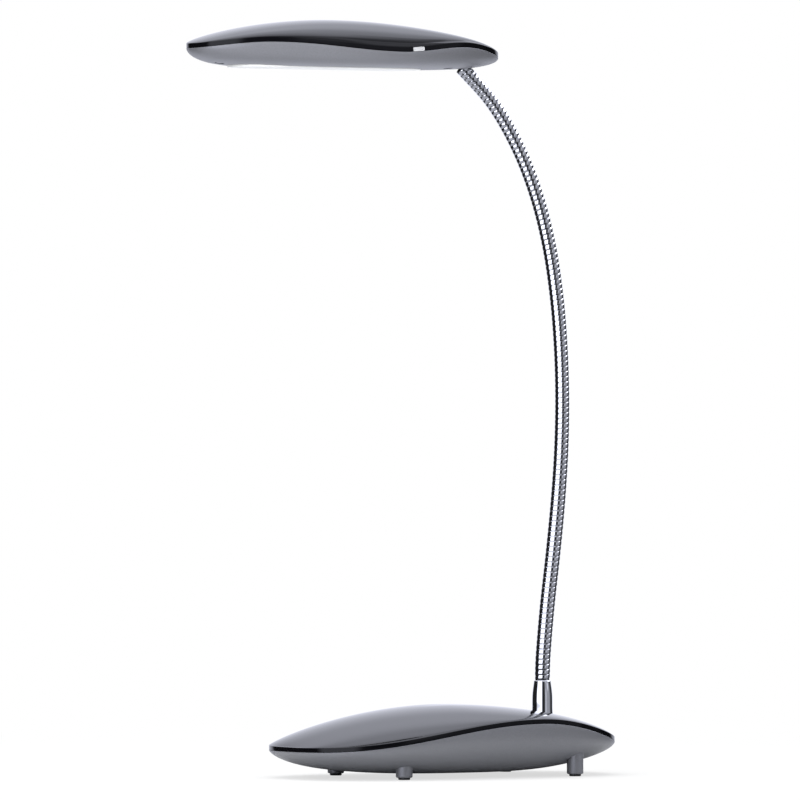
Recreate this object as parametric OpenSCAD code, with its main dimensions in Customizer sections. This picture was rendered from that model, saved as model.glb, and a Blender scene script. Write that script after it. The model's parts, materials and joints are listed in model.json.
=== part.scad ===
/* [Base] */
// Length of the base, along X
base_len = 200.6; // [190:0.2:220]
// Width of the base, along Y
base_w = 120; // [114:1:130]
// Squareness of the base in plan, where 2 is an ellipse
base_square = 2.6; // [2.4:0.1:2.8]
// Height of the crown of the base above the desk
base_top = 39.8; // [38.5:0.1:44]
// Height of the lower housing's underside above the desk
base_lift = 2.2; // [1.8:0.1:3]
// Wall of both base shells
base_wall = 2.2; // [1.8:0.1:2.6]
// Height of the parting line at its peak
base_rim_peak = 31.4; // [30:0.1:32.5]
// How far the peak of the parting line lies towards the neck
base_peak_x = 30; // [24:1:36]
// Height of the parting line at the front end
base_rim_front = 16.6; // [16:0.1:18]
// Height of the parting line at the neck end
base_rim_back = 18; // [17:0.1:19]
// Height of the black band round each cover's edge
band_h = 2.4; // [2:0.1:2.8]
// Gap between a cover and its housing
parting_gap = 0.1; // [0.05:0.05:0.2]

/* [Feet] */
// How far the two front feet lie ahead of the base's middle
foot_front = 46.5; // [40:0.5:50]
// How far the two back feet lie behind the base's middle
foot_back = 63; // [54:0.5:64]
// Distance from the long axis to each foot
foot_side = 38; // [33:1:38]
// Diameter of a foot post
foot_d = 9.2; // [8:0.1:10]
// Height of a rubber pad below its post
pad_proud = 1.2; // [0.8:0.1:1.6]
// Diameter of a rubber pad
pad_d = 6.6; // [5.6:0.1:7.4]
// Clearance round a foot post where it passes the housing
foot_gap = 0.3; // [0.2:0.1:0.6]

/* [Ballast] */
// Length of the ballast's upper plate
ballast_len = 163; // [158:1:166]
// Width of the ballast's upper plate
ballast_w = 91; // [88:1:92]
// Thickness of the ballast's upper plate
ballast_t = 5; // [4:0.5:6]
// Height of the ballast plate's underside above the desk
ballast_z = 14.5; // [14.5:0.1:15.5]
// Length of the ballast's deep block
block_len = 104; // [90:1:108]
// Width of the ballast's deep block
block_w = 56; // [46:1:60]
// Depth of the deep block below the plate
block_drop = 7; // [5:0.5:7.5]

/* [Neck] */
// Outer diameter of the wound hose
neck_d = 8; // [7.6:0.1:8.4]
// Pitch of the hose's winding
coil_pitch = 2.88; // [2.6:0.01:3.2]
// Diameter of the hole through the hose
neck_bore = 3.2; // [3:0.1:3.6]
// Distance from the base's middle to the neck's root
neck_x = 64.5; // [62:0.1:66]
// Length of one bending link of the hose
link_len = 29; // [26:0.1:32]
// Length of hose from the collar's top to the first bend centre
stub_len = 13; // [10:0.5:16]
// Length of hose from the last bend centre to the head's underside
tail_len = 25.2; // [22:0.1:30]
// Lean of each link from upright in degrees, from the collar to the head
neck_lean = [2, 5.5, 7.3, 6.3, 4.3, 1.3, -2, -5.5, -10, -16.5, -24.5, -34, -46];
// Radial clearance in each ball joint of the neck
ball_gap = 0.05; // [0.03:0.01:0.08]

/* [Collar] */
// Height of the collar's top above the desk
collar_top = 52.2; // [50:0.1:56]
// Diameter of the collar at its top
collar_top_d = 9.2; // [9:0.1:10]
// Diameter of the collar at its foot
collar_foot_d = 11; // [10.6:0.1:12]
// Diameter of the collar's threaded shank
shank_d = 9.8; // [9.6:0.1:10.2]
// Running clearance round inner parts that seat in a hole
seat_gap = 0.05; // [0.03:0.01:0.1]

/* [Head] */
// Length of the head, along X
head_len = 190; // [184:1:198]
// Width of the head, along Y
head_w = 84; // [80:1:88]
// Squareness of the head in plan, where 2 is an ellipse
head_square = 2.2; // [2.1:0.05:2.4]
// Height of the head from its underside to its crown
head_h = 26.5; // [25.5:0.1:28]
// Wall of both head shells
head_wall = 1.8; // [1.4:0.1:2]
// Distance from the head's middle to where the neck enters
neck_entry = 77.4; // [75:0.1:79]
// Height of the head's parting line at the front shoulder
head_rim_front = 13.8; // [13:0.1:14.2]
// Height of the head's parting line in the trough of its side
head_rim_low = 9.4; // [9:0.1:9.8]
// Height of the head's parting line at the back shoulder
head_rim_back = 12.8; // [12.2:0.1:13.2]

/* [Light] */
// Length of the diffuser's window
window_len = 118; // [110:1:120]
// Width of the diffuser's window
window_w = 34; // [30:1:36]
// How far the window's middle lies ahead of the head's middle
window_x = 12; // [10:1:14]
// How far the diffuser stands proud of the underside
window_proud = 0.4; // [0.2:0.1:0.6]
// Height of the lamp board above the head's underside
board_z = 8.4; // [8:0.1:8.8]
// Number of lamp chips along the board
chip_cols = 10; // [6:1:12]
// Number of rows of lamp chips
chip_rows = 3; // [2:1:3]

/* [Switch] */
// Length of the power button along the side of the head
button_len = 7.4; // [7:0.1:10]
// How far behind the head's middle the button lies
button_x = 24.5; // [20:0.5:26]
// How far the button's face stands proud
button_proud = 0.3; // [0.2:0.1:0.5]
// Travel of the button
button_travel = 0.8; // [0.5:0.1:1]
// Clearance round the button in its slot
button_gap = 0.15; // [0.1:0.05:0.2]

/* [Power inlet] */
// Distance from the base's middle to the power inlet
inlet_x = 30; // [26:1:34]
// Height of the power inlet's axis above the desk
inlet_z = 20; // [19.6:0.1:20.6]
// Diameter of the recess that takes the plug's barrel
inlet_bore = 10.4; // [10:0.1:11]
// Depth of the recess in front of the jack
inlet_depth = 4; // [3:0.1:5]

/* [Hidden] */
$fn = 48;

black_gloss = [0.03, 0.03, 0.035];
silver_paint = [0.55, 0.56, 0.6];
chrome_col = [0.8, 0.81, 0.83];
steel_col = [0.62, 0.63, 0.65];
iron_col = [0.3, 0.3, 0.32];
rubber_col = [0.05, 0.05, 0.05];
board_col = [0.05, 0.35, 0.15];
white_col = [0.93, 0.93, 0.92];

// ---- shared shape of a shell pair: a superellipse in plan under a dome, over a bowl ----
ring_sides = 72;
dome_rings = 10;
inner_rings = 7;
tiny = 0.01;

function unit(v) = v / norm(v);
function sq_radius(t, n) = 1 / pow(pow(abs(cos(t)), n) + pow(abs(sin(t)), n), 1 / n);
function half_width(x, a, b, n) = b * pow(max(0, 1 - pow(min(1, abs(x) / a), n)), 1 / n);
function ring_rho(i, rings) = pow(cos(90 * i / rings), 0.6);
function plan_ring(rho, a, b, n) = [
    for (k = [0:ring_sides - 1])
        let(t = 360 * k / ring_sides, r = rho * sq_radius(t, n)) [a * r * cos(t), b * r * sin(t)]
];
function flat(lists) = [for (l = lists, p = l) p];
function mid_point(ring) = let(n = len(ring)) [for (j = [0:2]) (ring[0][j] + ring[n / 2][j]) / 2];

// one closed skin between an outer and an inner stack of rings, each ending in its own pole
module ring_shell(outer, outer_pole, inner, inner_pole, up) {
    n = ring_sides;
    no = len(outer);
    ni = len(inner);
    pole_o = no * n;
    first_i = pole_o + 1;
    pole_i = first_i + ni * n;
    quads = concat(
        [for (i = [0:no - 2], k = [0:n - 1]) let(q = (k + 1) % n)
            [i * n + k, (i + 1) * n + k, (i + 1) * n + q, i * n + q]],
        [for (i = [0:ni - 2], k = [0:n - 1]) let(q = (k + 1) % n)
            [first_i + i * n + k, first_i + i * n + q, first_i + (i + 1) * n + q, first_i + (i + 1) * n + k]],
        [for (k = [0:n - 1]) let(q = (k + 1) % n) [k, q, first_i + q, first_i + k]]
    );
    fans = concat(
        [for (k = [0:n - 1]) [(no - 1) * n + k, pole_o, (no - 1) * n + (k + 1) % n]],
        [for (k = [0:n - 1]) [first_i + (ni - 1) * n + k, first_i + (ni - 1) * n + (k + 1) % n, pole_i]]
    );
    tris = concat([for (f = quads) [f[0], f[1], f[2]]], [for (f = quads) [f[0], f[2], f[3]]], fans);
    polyhedron(
        points = concat(flat(outer), [outer_pole], flat(inner), [inner_pole]),
        faces = up ? tris : [for (f = tris) [f[0], f[2], f[1]]]
    );
}

// a tube swept along a list of points; ref is a direction that the route never takes
module tube(route, d, ref, sides = 8) {
    n = len(route);
    rings = [for (i = [0:n - 1])
        let(
            t = unit(route[min(n - 1, i + 1)] - route[max(0, i - 1)]),
            s = unit(cross(t, ref)),
            u = cross(s, t)
        )
        for (k = [0:sides - 1]) route[i] + d / 2 * (cos(360 * k / sides) * s + sin(360 * k / sides) * u)];
    polyhedron(points = rings, faces = concat(
        [[for (k = [0:sides - 1]) k]],
        [[for (k = [sides - 1:-1:0]) (n - 1) * sides + k]],
        [for (i = [0:n - 2], k = [0:sides - 1]) let(q = (k + 1) % sides)
            [i * sides + k, (i + 1) * sides + k, (i + 1) * sides + q]],
        [for (i = [0:n - 2], k = [0:sides - 1]) let(q = (k + 1) % sides)
            [i * sides + k, (i + 1) * sides + q, i * sides + q]]
    ));
}

// a smooth curve through a few corner points, as a chain of quadratic arcs
function smooth(pts, steps = 4) = let(n = len(pts)) concat(
    [pts[0]],
    [for (i = [1:n - 2], k = [0:steps])
        let(t = k / steps, a = (pts[i - 1] + pts[i]) / 2, c = (pts[i] + pts[i + 1]) / 2)
            (1 - t) * (1 - t) * a + 2 * t * (1 - t) * pts[i] + t * t * c],
    [pts[n - 1]]
);

// ---- base shape ----
base_a = base_len / 2;
base_b = base_w / 2;
base_reach_front = 132;
base_reach_back = 72;
base_crown_front = [1.7, 0.74];
base_crown_back = [2, 0.62];
base_hull = [4, 0.66];
base_crown_side = 0.75;

function lobe(x, peak, low, high, reach, power) =
    low + (high - low) * pow(cos(90 * min(1, abs(x - peak) / reach)), power);
function base_rim(x) = x < base_peak_x
    ? lobe(x, base_peak_x, base_rim_front, base_rim_peak, base_reach_front, 2)
    : lobe(x, base_peak_x, base_rim_back, base_rim_peak, base_reach_back, 1.2);
function arch(u, low, high, p) = low + (high - low) * pow(max(0, 1 - pow(min(1, abs(u)), p[0])), p[1]);
function base_crown(x) = x < 0
    ? arch(x / base_a, base_rim_front, base_top, base_crown_front)
    : arch(x / base_a, base_rim_back, base_top, base_crown_back);
function base_dome(x, y, wall) =
    let(
        w = half_width(x, base_a - wall, base_b - wall, base_square),
        s = w > tiny ? min(1, abs(y) / w) : 1,
        edge = base_rim(x) + band_h / 2
    ) edge + max(0, base_crown(x) - wall - edge) * pow(1 - s * s, base_crown_side);
function base_bowl(x, rho, wall) =
    let(edge = base_rim(x) - band_h / 2 - parting_gap)
    edge - max(0, edge - base_lift - wall) * pow(1 - pow(rho, base_hull[0]), base_hull[1]);

// ---- head shape, in its own frame: underside at z = 0, middle at x = 0 ----
head_a = head_len / 2;
head_b = head_w / 2;
head_rim_ends = [7.7, 4.7];
head_rim_at = [-1.35, -0.66, 0.16, 0.62, 1.25];
head_peak = -0.1;
head_crown_front = [12.2, 0.9, 0.85];
head_crown_back = [9, 1.1, 0.8];
head_crown_side = 0.5;
head_hull = [8, 0.55];
head_rim_z = [head_rim_ends[0], head_rim_front, head_rim_low, head_rim_back, head_rim_ends[1]];

function ease(t) = (1 - cos(180 * t)) / 2;
function wave(u, i = 0) = u <= head_rim_at[i + 1] || i == 3
    ? head_rim_z[i] + (head_rim_z[i + 1] - head_rim_z[i])
        * ease(min(1, max(0, (u - head_rim_at[i]) / (head_rim_at[i + 1] - head_rim_at[i]))))
    : wave(u, i + 1);
function head_rim(x) = wave(x / head_a);
function head_crown(x) = let(u = x / head_a - head_peak, c = u < 0 ? head_crown_front : head_crown_back)
    arch(u / c[1], c[0], head_h, [2, c[2]]);
function head_dome(x, y, wall) =
    let(
        w = half_width(x, head_a - wall, head_b - wall, head_square),
        s = w > tiny ? min(1, abs(y) / w) : 1,
        edge = head_rim(x) + band_h / 2
    ) edge + max(0, head_crown(x) - wall - edge) * pow(1 - s * s, head_crown_side);
function head_bowl(x, rho, wall) =
    let(edge = head_rim(x) - band_h / 2 - parting_gap)
    edge - max(0, edge - wall) * pow(1 - pow(rho, head_hull[0]), head_hull[1]);

// ---- neck path ----
link_count = len(neck_lean) - 2;
neck_r = neck_d / 2;
valley_r = neck_r - 0.45;
ball_r = neck_r - 0.5;
cup_r = ball_r + ball_gap;
cup_open = 60;
bore_r = neck_bore / 2;
cable_d = 2.4;
core_d = 1.8;
hose_fit_r = neck_r - 0.05;
neck_base = [neck_x, 0, collar_top];

function lean_dir(k) = [sin(neck_lean[k]), 0, cos(neck_lean[k])];
function pivot(k) = k == 0 ? neck_base + stub_len * lean_dir(0) : pivot(k - 1) + link_len * lean_dir(k);
last_pivot = pivot(link_count);
neck_end = last_pivot + tail_len * lean_dir(link_count + 1);
head_pos = [neck_end[0] - neck_entry, 0, neck_end[2]];
origin_x = -(head_pos[0] - head_a + base_a) / 2;

module placed() translate([origin_x, 0, 0]) children();
module in_head() placed() translate(head_pos) children();
module along(k) rotate([0, neck_lean[k], 0]) children();

// ---- collar, ballast and board places ----
collar_foot_r = collar_foot_d / 2 + 0.5;
collar_foot_z = base_crown(neck_x + collar_foot_r) - 0.1;
seat_tilt = atan((base_crown(neck_x - collar_foot_r) - base_crown(neck_x + collar_foot_r))
    / (2 * collar_foot_r));
seat_boss_r = collar_foot_r + 1.6;
seat_boss_t = 3.5;
flange_z = ballast_z + ballast_t;
washer_t = 1.2;
nut_t = 4;
nut_flats = 15;
shank_low = ballast_z - washer_t - nut_t - 0.5;
stub_in = 16;
board_gap = 3;
driver_t = 1.6;
driver_x = -14;
driver_len = 62;
driver_w = 36;
driver_z = flange_z + board_gap;
driver_top = driver_z + driver_t;
exit_z = flange_z + 5;
exit_r = 2.2;
exit_x = neck_x - shank_d / 2 - 5;
screw_r = 1.45;
screw_hole_r = 1.5;
screw_head_r = 2.7;
screw_head_t = 1.8;
base_post_xy = [[-50, -18], [-50, 18], [40, -19], [40, 19]];
base_post_r = 3.6;
post_gap = 1;
base_split = 9.5;
screw_seat = 5.4;
base_screw_len = 15;
ballast_square = 3.9;

foot_xy = [[-foot_front, -foot_side], [-foot_front, foot_side], [foot_back, -foot_side], [foot_back, foot_side]];
foot_post_low = pad_proud;
pad_deep = 1.6;
foot_screw_r = 1.95;

jack_w = 9;
jack_len = 14;
jack_h = 10.5;
bezel_wall = 2;
inlet_face = base_b - 3.6;
bezel_back = 3;
jack_face = inlet_face - inlet_depth;
lead_room = 8;
jack_hole_r = 2.85;
jack_pin_r = 1.05;

// ---- base nodes ----
module slab(len_x, len_y, square, h) linear_extrude(h)
    polygon([for (k = [0:59]) let(t = 6 * k, r = sq_radius(t, square))
        [len_x / 2 * r * cos(t), len_y / 2 * r * sin(t)]]);

module rounded_box(size, r) linear_extrude(size[2]) {
    square([size[0] - 2 * r, size[1]], center = true);
    square([size[0], size[1] - 2 * r], center = true);
    for (x = [-1, 1], y = [-1, 1]) translate([x * (size[0] / 2 - r), y * (size[1] / 2 - r)]) circle(r);
}

module base_cover_skin() {
    outer_edge = plan_ring(1, base_a, base_b, base_square);
    inner_edge = plan_ring(1, base_a - base_wall, base_b - base_wall, base_square);
    ring_shell(
        concat(
            [[for (p = outer_edge) [p[0], p[1], base_rim(p[0]) - band_h / 2]]],
            [[for (p = outer_edge) [p[0], p[1], base_rim(p[0]) + band_h / 2]]],
            [for (i = [1:dome_rings - 1])
                [for (p = plan_ring(ring_rho(i, dome_rings), base_a, base_b, base_square))
                    [p[0], p[1], base_dome(p[0], p[1], 0)]]]
        ),
        [0, 0, base_dome(0, 0, 0)],
        concat(
            [[for (p = inner_edge) [p[0], p[1], base_rim(p[0]) - band_h / 2]]],
            [[for (p = inner_edge) [p[0], p[1], base_rim(p[0]) + band_h / 2]]],
            [for (i = [1:inner_rings - 1])
                [for (p = plan_ring(ring_rho(i, inner_rings), base_a - base_wall, base_b - base_wall, base_square))
                    [p[0], p[1], base_dome(p[0], p[1], base_wall)]]]
        ),
        [0, 0, base_dome(0, 0, base_wall)],
        true
    );
}

module base_bowl_skin() {
    ring_shell(
        [for (i = [0:dome_rings - 1]) let(rho = ring_rho(i, dome_rings))
            [for (p = plan_ring(rho, base_a, base_b, base_square)) [p[0], p[1], base_bowl(p[0], rho, 0)]]],
        [0, 0, base_bowl(0, 0, 0)],
        [for (i = [0:inner_rings - 1]) let(rho = ring_rho(i, inner_rings))
            [for (p = plan_ring(rho, base_a - base_wall, base_b - base_wall, base_square))
                [p[0], p[1], base_bowl(p[0], rho, base_wall)]]],
        [0, 0, base_bowl(0, 0, base_wall)],
        false
    );
}

module base_top_cover() color(black_gloss) placed() difference() {
    union() {
        base_cover_skin();
        for (p = base_post_xy) translate([p[0], p[1], base_split])
            cylinder(r = base_post_r, h = base_dome(p[0], p[1], base_wall) + base_wall / 2 - base_split);
        translate([neck_x, 0, base_crown(neck_x) - base_wall / 2]) rotate([0, seat_tilt, 0])
            translate([0, 0, -seat_boss_t]) cylinder(r = seat_boss_r, h = seat_boss_t);
    }
    translate([neck_x, 0, 0]) cylinder(r = shank_d / 2 + seat_gap, h = base_top + 1);
    translate([neck_x, 0, collar_foot_z]) cylinder(r = collar_foot_r + seat_gap, h = base_top);
    for (p = base_post_xy) translate([p[0], p[1], base_split - 1]) cylinder(r = screw_hole_r, h = 15);
}

module base_lower_housing() color(silver_paint) placed() difference() {
    union() {
        base_bowl_skin();
        for (p = base_post_xy) translate([p[0], p[1], base_lift + base_wall / 2])
            cylinder(r = base_post_r, h = base_split - parting_gap - base_lift - base_wall / 2);
    }
    for (p = base_post_xy) translate([p[0], p[1], 0]) {
        cylinder(r = screw_hole_r + 0.2, h = base_split + 1);
        cylinder(r = screw_head_r + 0.4, h = screw_seat);
    }
    for (p = foot_xy) translate([p[0], p[1], 0]) cylinder(r = foot_d / 2 + foot_gap, h = ballast_z);
    translate([inlet_x, inlet_face - inlet_depth - bezel_back, inlet_z]) rotate([-90, 0, 0])
        cylinder(r = inlet_bore / 2 + bezel_wall + seat_gap, h = 20);
    translate([inlet_x - jack_w / 2 - seat_gap, jack_face - jack_len, inlet_z - jack_h / 2 - seat_gap])
        cube([jack_w + 2 * seat_gap, jack_len, jack_h]);
}

module foot_posts() color(silver_paint) placed() for (p = foot_xy) translate([p[0], p[1], 0]) difference() {
    translate([0, 0, foot_post_low]) union() {
        cylinder(r1 = foot_d / 2 - 0.5, r2 = foot_d / 2, h = 0.5);
        translate([0, 0, 0.5]) cylinder(r = foot_d / 2, h = ballast_z - foot_post_low - 0.5);
    }
    cylinder(r = pad_d / 2 + seat_gap, h = foot_post_low + pad_deep);
    translate([0, 0, foot_post_low + pad_deep + 2]) cylinder(r = foot_screw_r + seat_gap, h = ballast_z);
}

module foot_pads() color(rubber_col) placed() for (p = foot_xy) translate([p[0], p[1], 0]) {
    cylinder(r1 = pad_d / 2 - 0.3, r2 = pad_d / 2, h = 0.4);
    translate([0, 0, 0.4]) cylinder(r = pad_d / 2, h = foot_post_low + pad_deep - 0.4);
}

module foot_screws() color(steel_col) placed() for (p = foot_xy) translate([p[0], p[1], flange_z])
    pan_screw(foot_screw_r, foot_screw_r * 2, 2, ballast_t + 4);

module pan_screw(r, head_r, head_t, shank) difference() {
    union() {
        cylinder(r1 = head_r, r2 = head_r * 0.75, h = head_t);
        translate([0, 0, -shank]) cylinder(r = r, h = shank + tiny);
    }
    for (a = [0, 90]) rotate([0, 0, a]) translate([-head_r * 0.55, -0.3, head_t * 0.45]) cube([head_r * 1.1, 0.6, head_t]);
}

module ballast() color(iron_col) placed() difference() {
    union() {
        translate([0, 0, ballast_z]) slab(ballast_len, ballast_w, ballast_square, ballast_t);
        translate([-6, 0, ballast_z - block_drop]) slab(block_len, block_w, ballast_square, block_drop);
    }
    for (p = base_post_xy) translate([p[0], p[1], 0]) cylinder(r = base_post_r + post_gap, h = flange_z + 1);
    for (p = foot_xy) translate([p[0], p[1], 0]) cylinder(r = foot_screw_r + seat_gap, h = flange_z + 1);
    translate([neck_x, 0, 0]) cylinder(r = shank_d / 2 + seat_gap, h = flange_z + 1);
    translate([inlet_x - jack_w / 2 - 2, jack_face - jack_len - lead_room, 0])
        cube([jack_w + 4, base_b, flange_z + 1]);
}

module base_screws() color(steel_col) placed() for (p = base_post_xy) translate([p[0], p[1], screw_seat])
    mirror([0, 0, 1]) pan_screw(screw_r, screw_head_r, screw_head_t, base_screw_len);

module neck_collar() color(chrome_col) placed() translate([neck_x, 0, 0]) difference() {
    rotate_extrude() polygon([
        [0, shank_low], [shank_d / 2, shank_low], [shank_d / 2, collar_foot_z],
        [collar_foot_r, collar_foot_z], [collar_foot_r - 0.1, collar_foot_z + 2.2],
        [collar_foot_d / 2, collar_foot_z + 4], [collar_foot_d / 2 - 0.35, collar_foot_z + 9],
        [collar_top_d / 2 + 0.15, collar_top - 3], [collar_top_d / 2, collar_top - 0.5],
        [collar_top_d / 2 - 0.4, collar_top], [0, collar_top]
    ]);
    translate([0, 0, collar_top - stub_in]) cylinder(r = neck_r, h = stub_in + 1);
    translate([0, 0, shank_low - 1]) cylinder(r = neck_r - 1, h = collar_top - stub_in - shank_low + 2);
    translate([0, 0, exit_z]) rotate([0, -90, 0]) cylinder(r = exit_r, h = shank_d);
}

module collar_washer() color(steel_col) placed() translate([neck_x, 0, ballast_z - washer_t]) difference() {
    cylinder(r = nut_flats / 2 + 1, h = washer_t);
    translate([0, 0, -1]) cylinder(r = shank_d / 2 + seat_gap, h = washer_t + 2);
}

module collar_locknut() color(steel_col) placed()
    translate([neck_x, 0, ballast_z - washer_t - nut_t]) difference() {
    cylinder(r = nut_flats / sqrt(3), h = nut_t, $fn = 6);
    translate([0, 0, -1]) cylinder(r = shank_d / 2 + seat_gap, h = nut_t + 2);
}

module inlet_bezel() color(black_gloss) placed()
    translate([inlet_x, inlet_face - inlet_depth - bezel_back, inlet_z]) rotate([-90, 0, 0]) difference() {
        cylinder(r = inlet_bore / 2 + bezel_wall, h = inlet_depth + bezel_back);
        translate([0, 0, bezel_back]) cylinder(r = inlet_bore / 2, h = inlet_depth + 1);
        translate([-jack_w / 2 - seat_gap, -jack_h / 2 - seat_gap, -1])
            cube([jack_w + 2 * seat_gap, jack_h + 2 * seat_gap, bezel_back + 1 + tiny]);
    }

module dc_jack() color(black_gloss) placed() translate([inlet_x, jack_face, inlet_z]) difference() {
    translate([-jack_w / 2, -jack_len, -jack_h / 2]) cube([jack_w, jack_len, jack_h]);
    rotate([90, 0, 0]) translate([0, 0, -1]) cylinder(r = jack_hole_r, h = 10.5);
}

module jack_pin() color(chrome_col) placed() translate([inlet_x, jack_face, inlet_z]) rotate([90, 0, 0])
    translate([0, 0, 1]) cylinder(r = jack_pin_r, h = 8.5);

module driver_board() color(board_col) placed() translate([driver_x, 0, driver_z]) difference() {
    rounded_box([driver_len, driver_w, driver_t], 2);
    for (x = [-1, 1], y = [-1, 1]) translate([x * (driver_len / 2 - 4), y * (driver_w / 2 - 4), -1])
        cylinder(r = screw_hole_r, h = driver_t + 2);
}

module board_spacers() color(steel_col) placed() translate([driver_x, 0, flange_z])
    for (x = [-1, 1], y = [-1, 1]) translate([x * (driver_len / 2 - 4), y * (driver_w / 2 - 4), 0]) difference() {
        cylinder(r = 2.8, h = board_gap);
        translate([0, 0, 0.6]) cylinder(r = screw_hole_r, h = board_gap);
    }

module driver_screws() color(steel_col) placed() translate([driver_x, 0, driver_top])
    for (x = [-1, 1], y = [-1, 1]) translate([x * (driver_len / 2 - 4), y * (driver_w / 2 - 4), 0])
        pan_screw(screw_r, screw_head_r, screw_head_t, driver_t + 2.2);

module driver_choke() color(iron_col) placed() translate([driver_x - 12, 0, driver_top]) {
    cylinder(r = 6.2, h = 1.2);
    translate([0, 0, 1.2]) cylinder(r = 5, h = 5);
    translate([0, 0, 6.2]) cylinder(r = 6.2, h = 1.2);
}

module driver_capacitor() color(silver_paint) placed() translate([driver_x + 12, 4, driver_top]) rotate_extrude()
    polygon([[0, 0], [4, 0], [4, 1], [3.7, 1.3], [4, 1.6], [4, 8.6], [3.6, 9], [0, 9]]);

module driver_chips() color(rubber_col) placed() translate([driver_x, 0, driver_top]) {
    translate([0, -9, 0.5]) cube([5, 4, 1.5], center = false);
    translate([0, 6, 0.5]) cube([6, 5, 1.8], center = false);
    translate([driver_len / 2 - 13, -12, 0.5]) cube([4.5, 6.5, 2.2], center = false);
    for (x = [1, 3.4]) translate([x, -9.6, 0]) cube([0.6, 5.2, 0.5]);
    for (x = [1, 4.2]) translate([x, 5.4, 0]) cube([0.6, 6.2, 0.5]);
    for (y = [-11, -8]) translate([driver_len / 2 - 13.6, y, 0]) cube([5.7, 0.6, 0.5]);
}

module jack_lead() color(rubber_col) placed() tube(smooth([
    [inlet_x, jack_face - jack_len, inlet_z - 1], [inlet_x, jack_face - jack_len - 4, inlet_z - 1],
    [inlet_x, jack_face - jack_len - 8, driver_top + 4], [driver_x + driver_len / 2 - 6, 6, driver_top + 4],
    [driver_x + driver_len / 2 - 6, 6, driver_top + 0.1]
]), cable_d, [0.9, -0.1, 0.42]);

module base_lead() color(rubber_col) placed() tube(smooth([
    [driver_x + driver_len / 2 - 6, -6, driver_top + 0.1], [driver_x + driver_len / 2 - 6, -6, driver_top + 4],
    [driver_x + driver_len / 2 + 6, -10, flange_z + 3], [exit_x - 8, 0, exit_z], [exit_x - 0.1, 0, exit_z]
]), cable_d, [0.1, 0.9, 0.42]);

// ---- neck nodes: a wound hose with ball joints where it bends ----
function beads(z0, z1) =
    let(n = max(1, round((z1 - z0) / coil_pitch)), p = (z1 - z0) / n,
        shape = [valley_r, neck_r - 0.12, neck_r, neck_r - 0.12])
    concat([for (i = [0:n - 1], k = [0:3]) [shape[k], z0 + p * (i + k / 4)]], [[valley_r, z1]]);
function ball_end(z) = [for (k = [0:9]) let(t = 180 - cup_open - k * (180 - cup_open - asin(bore_r / ball_r)) / 9)
    [ball_r * sin(t), z + ball_r * cos(t)]];
function cup_end() = [for (k = [0:4]) let(t = asin(bore_r / cup_r) + k * (cup_open - asin(bore_r / cup_r)) / 4)
    [cup_r * sin(t), cup_r * cos(t)]];
cup_lip = cup_r * cos(cup_open);
ball_lip = ball_r * cos(cup_open);

module hose_link() rotate_extrude() polygon(concat(
    cup_end(), beads(cup_lip, link_len - ball_lip), ball_end(link_len)));

module neck_link(k) color(chrome_col) placed() translate(pivot(k - 1)) along(k) hose_link();

module neck_root() color(chrome_col) placed() translate(neck_base) union() {
    translate([0, 0, -stub_in + 0.5]) rotate_extrude() polygon([
        [bore_r, 0], [hose_fit_r, 0], [hose_fit_r, stub_in - 1.5], [bore_r, stub_in - 1.5]]);
    along(0) rotate_extrude() polygon(concat(
        [[bore_r, -1.2], [valley_r, -1.2]], beads(0, stub_len - ball_lip), ball_end(stub_len)));
}

tail_in = 15;
module neck_tail() color(chrome_col) placed() translate(last_pivot) along(link_count + 1) rotate_extrude()
    polygon(concat(cup_end(), beads(cup_lip, tail_len), [
        [hose_fit_r, tail_len], [hose_fit_r, tail_len + tail_in], [bore_r, tail_len + tail_in]]));

cable_route = concat(
    smooth([[exit_x, 0, exit_z], [neck_x, 0, exit_z], [neck_x, 0, exit_z + 8]]),
    [neck_base],
    [for (k = [0:link_count]) pivot(k)],
    [neck_end, neck_end + (tail_in + 2) * lean_dir(link_count + 1)]
);
module neck_cable() color(rubber_col) placed() tube(cable_route, core_d, [0, 1, 0.01]);

// ---- head nodes ----
module head_cover_skin() {
    outer_edge = plan_ring(1, head_a, head_b, head_square);
    inner_edge = plan_ring(1, head_a - head_wall, head_b - head_wall, head_square);
    ring_shell(
        concat(
            [[for (p = outer_edge) [p[0], p[1], head_rim(p[0]) - band_h / 2]]],
            [[for (p = outer_edge) [p[0], p[1], head_rim(p[0]) + band_h / 2]]],
            [for (i = [1:dome_rings - 1])
                [for (p = plan_ring(ring_rho(i, dome_rings), head_a, head_b, head_square))
                    [p[0], p[1], head_dome(p[0], p[1], 0)]]]
        ),
        [0, 0, head_dome(0, 0, 0)],
        concat(
            [[for (p = inner_edge) [p[0], p[1], head_rim(p[0]) - band_h / 2]]],
            [[for (p = inner_edge) [p[0], p[1], head_rim(p[0]) + band_h / 2]]],
            [for (i = [1:inner_rings - 1])
                [for (p = plan_ring(ring_rho(i, inner_rings), head_a - head_wall, head_b - head_wall, head_square))
                    [p[0], p[1], head_dome(p[0], p[1], head_wall)]]]
        ),
        [0, 0, head_dome(0, 0, head_wall)],
        true
    );
}

module head_bowl_skin() {
    ring_shell(
        [for (i = [0:dome_rings - 1]) let(rho = ring_rho(i, dome_rings))
            [for (p = plan_ring(rho, head_a, head_b, head_square)) [p[0], p[1], head_bowl(p[0], rho, 0)]]],
        [0, 0, head_bowl(0, 0, 0)],
        [for (i = [0:inner_rings - 1]) let(rho = ring_rho(i, inner_rings))
            [for (p = plan_ring(rho, head_a - head_wall, head_b - head_wall, head_square))
                [p[0], p[1], head_bowl(p[0], rho, head_wall)]]],
        [0, 0, head_bowl(0, 0, head_wall)],
        false
    );
}

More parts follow.
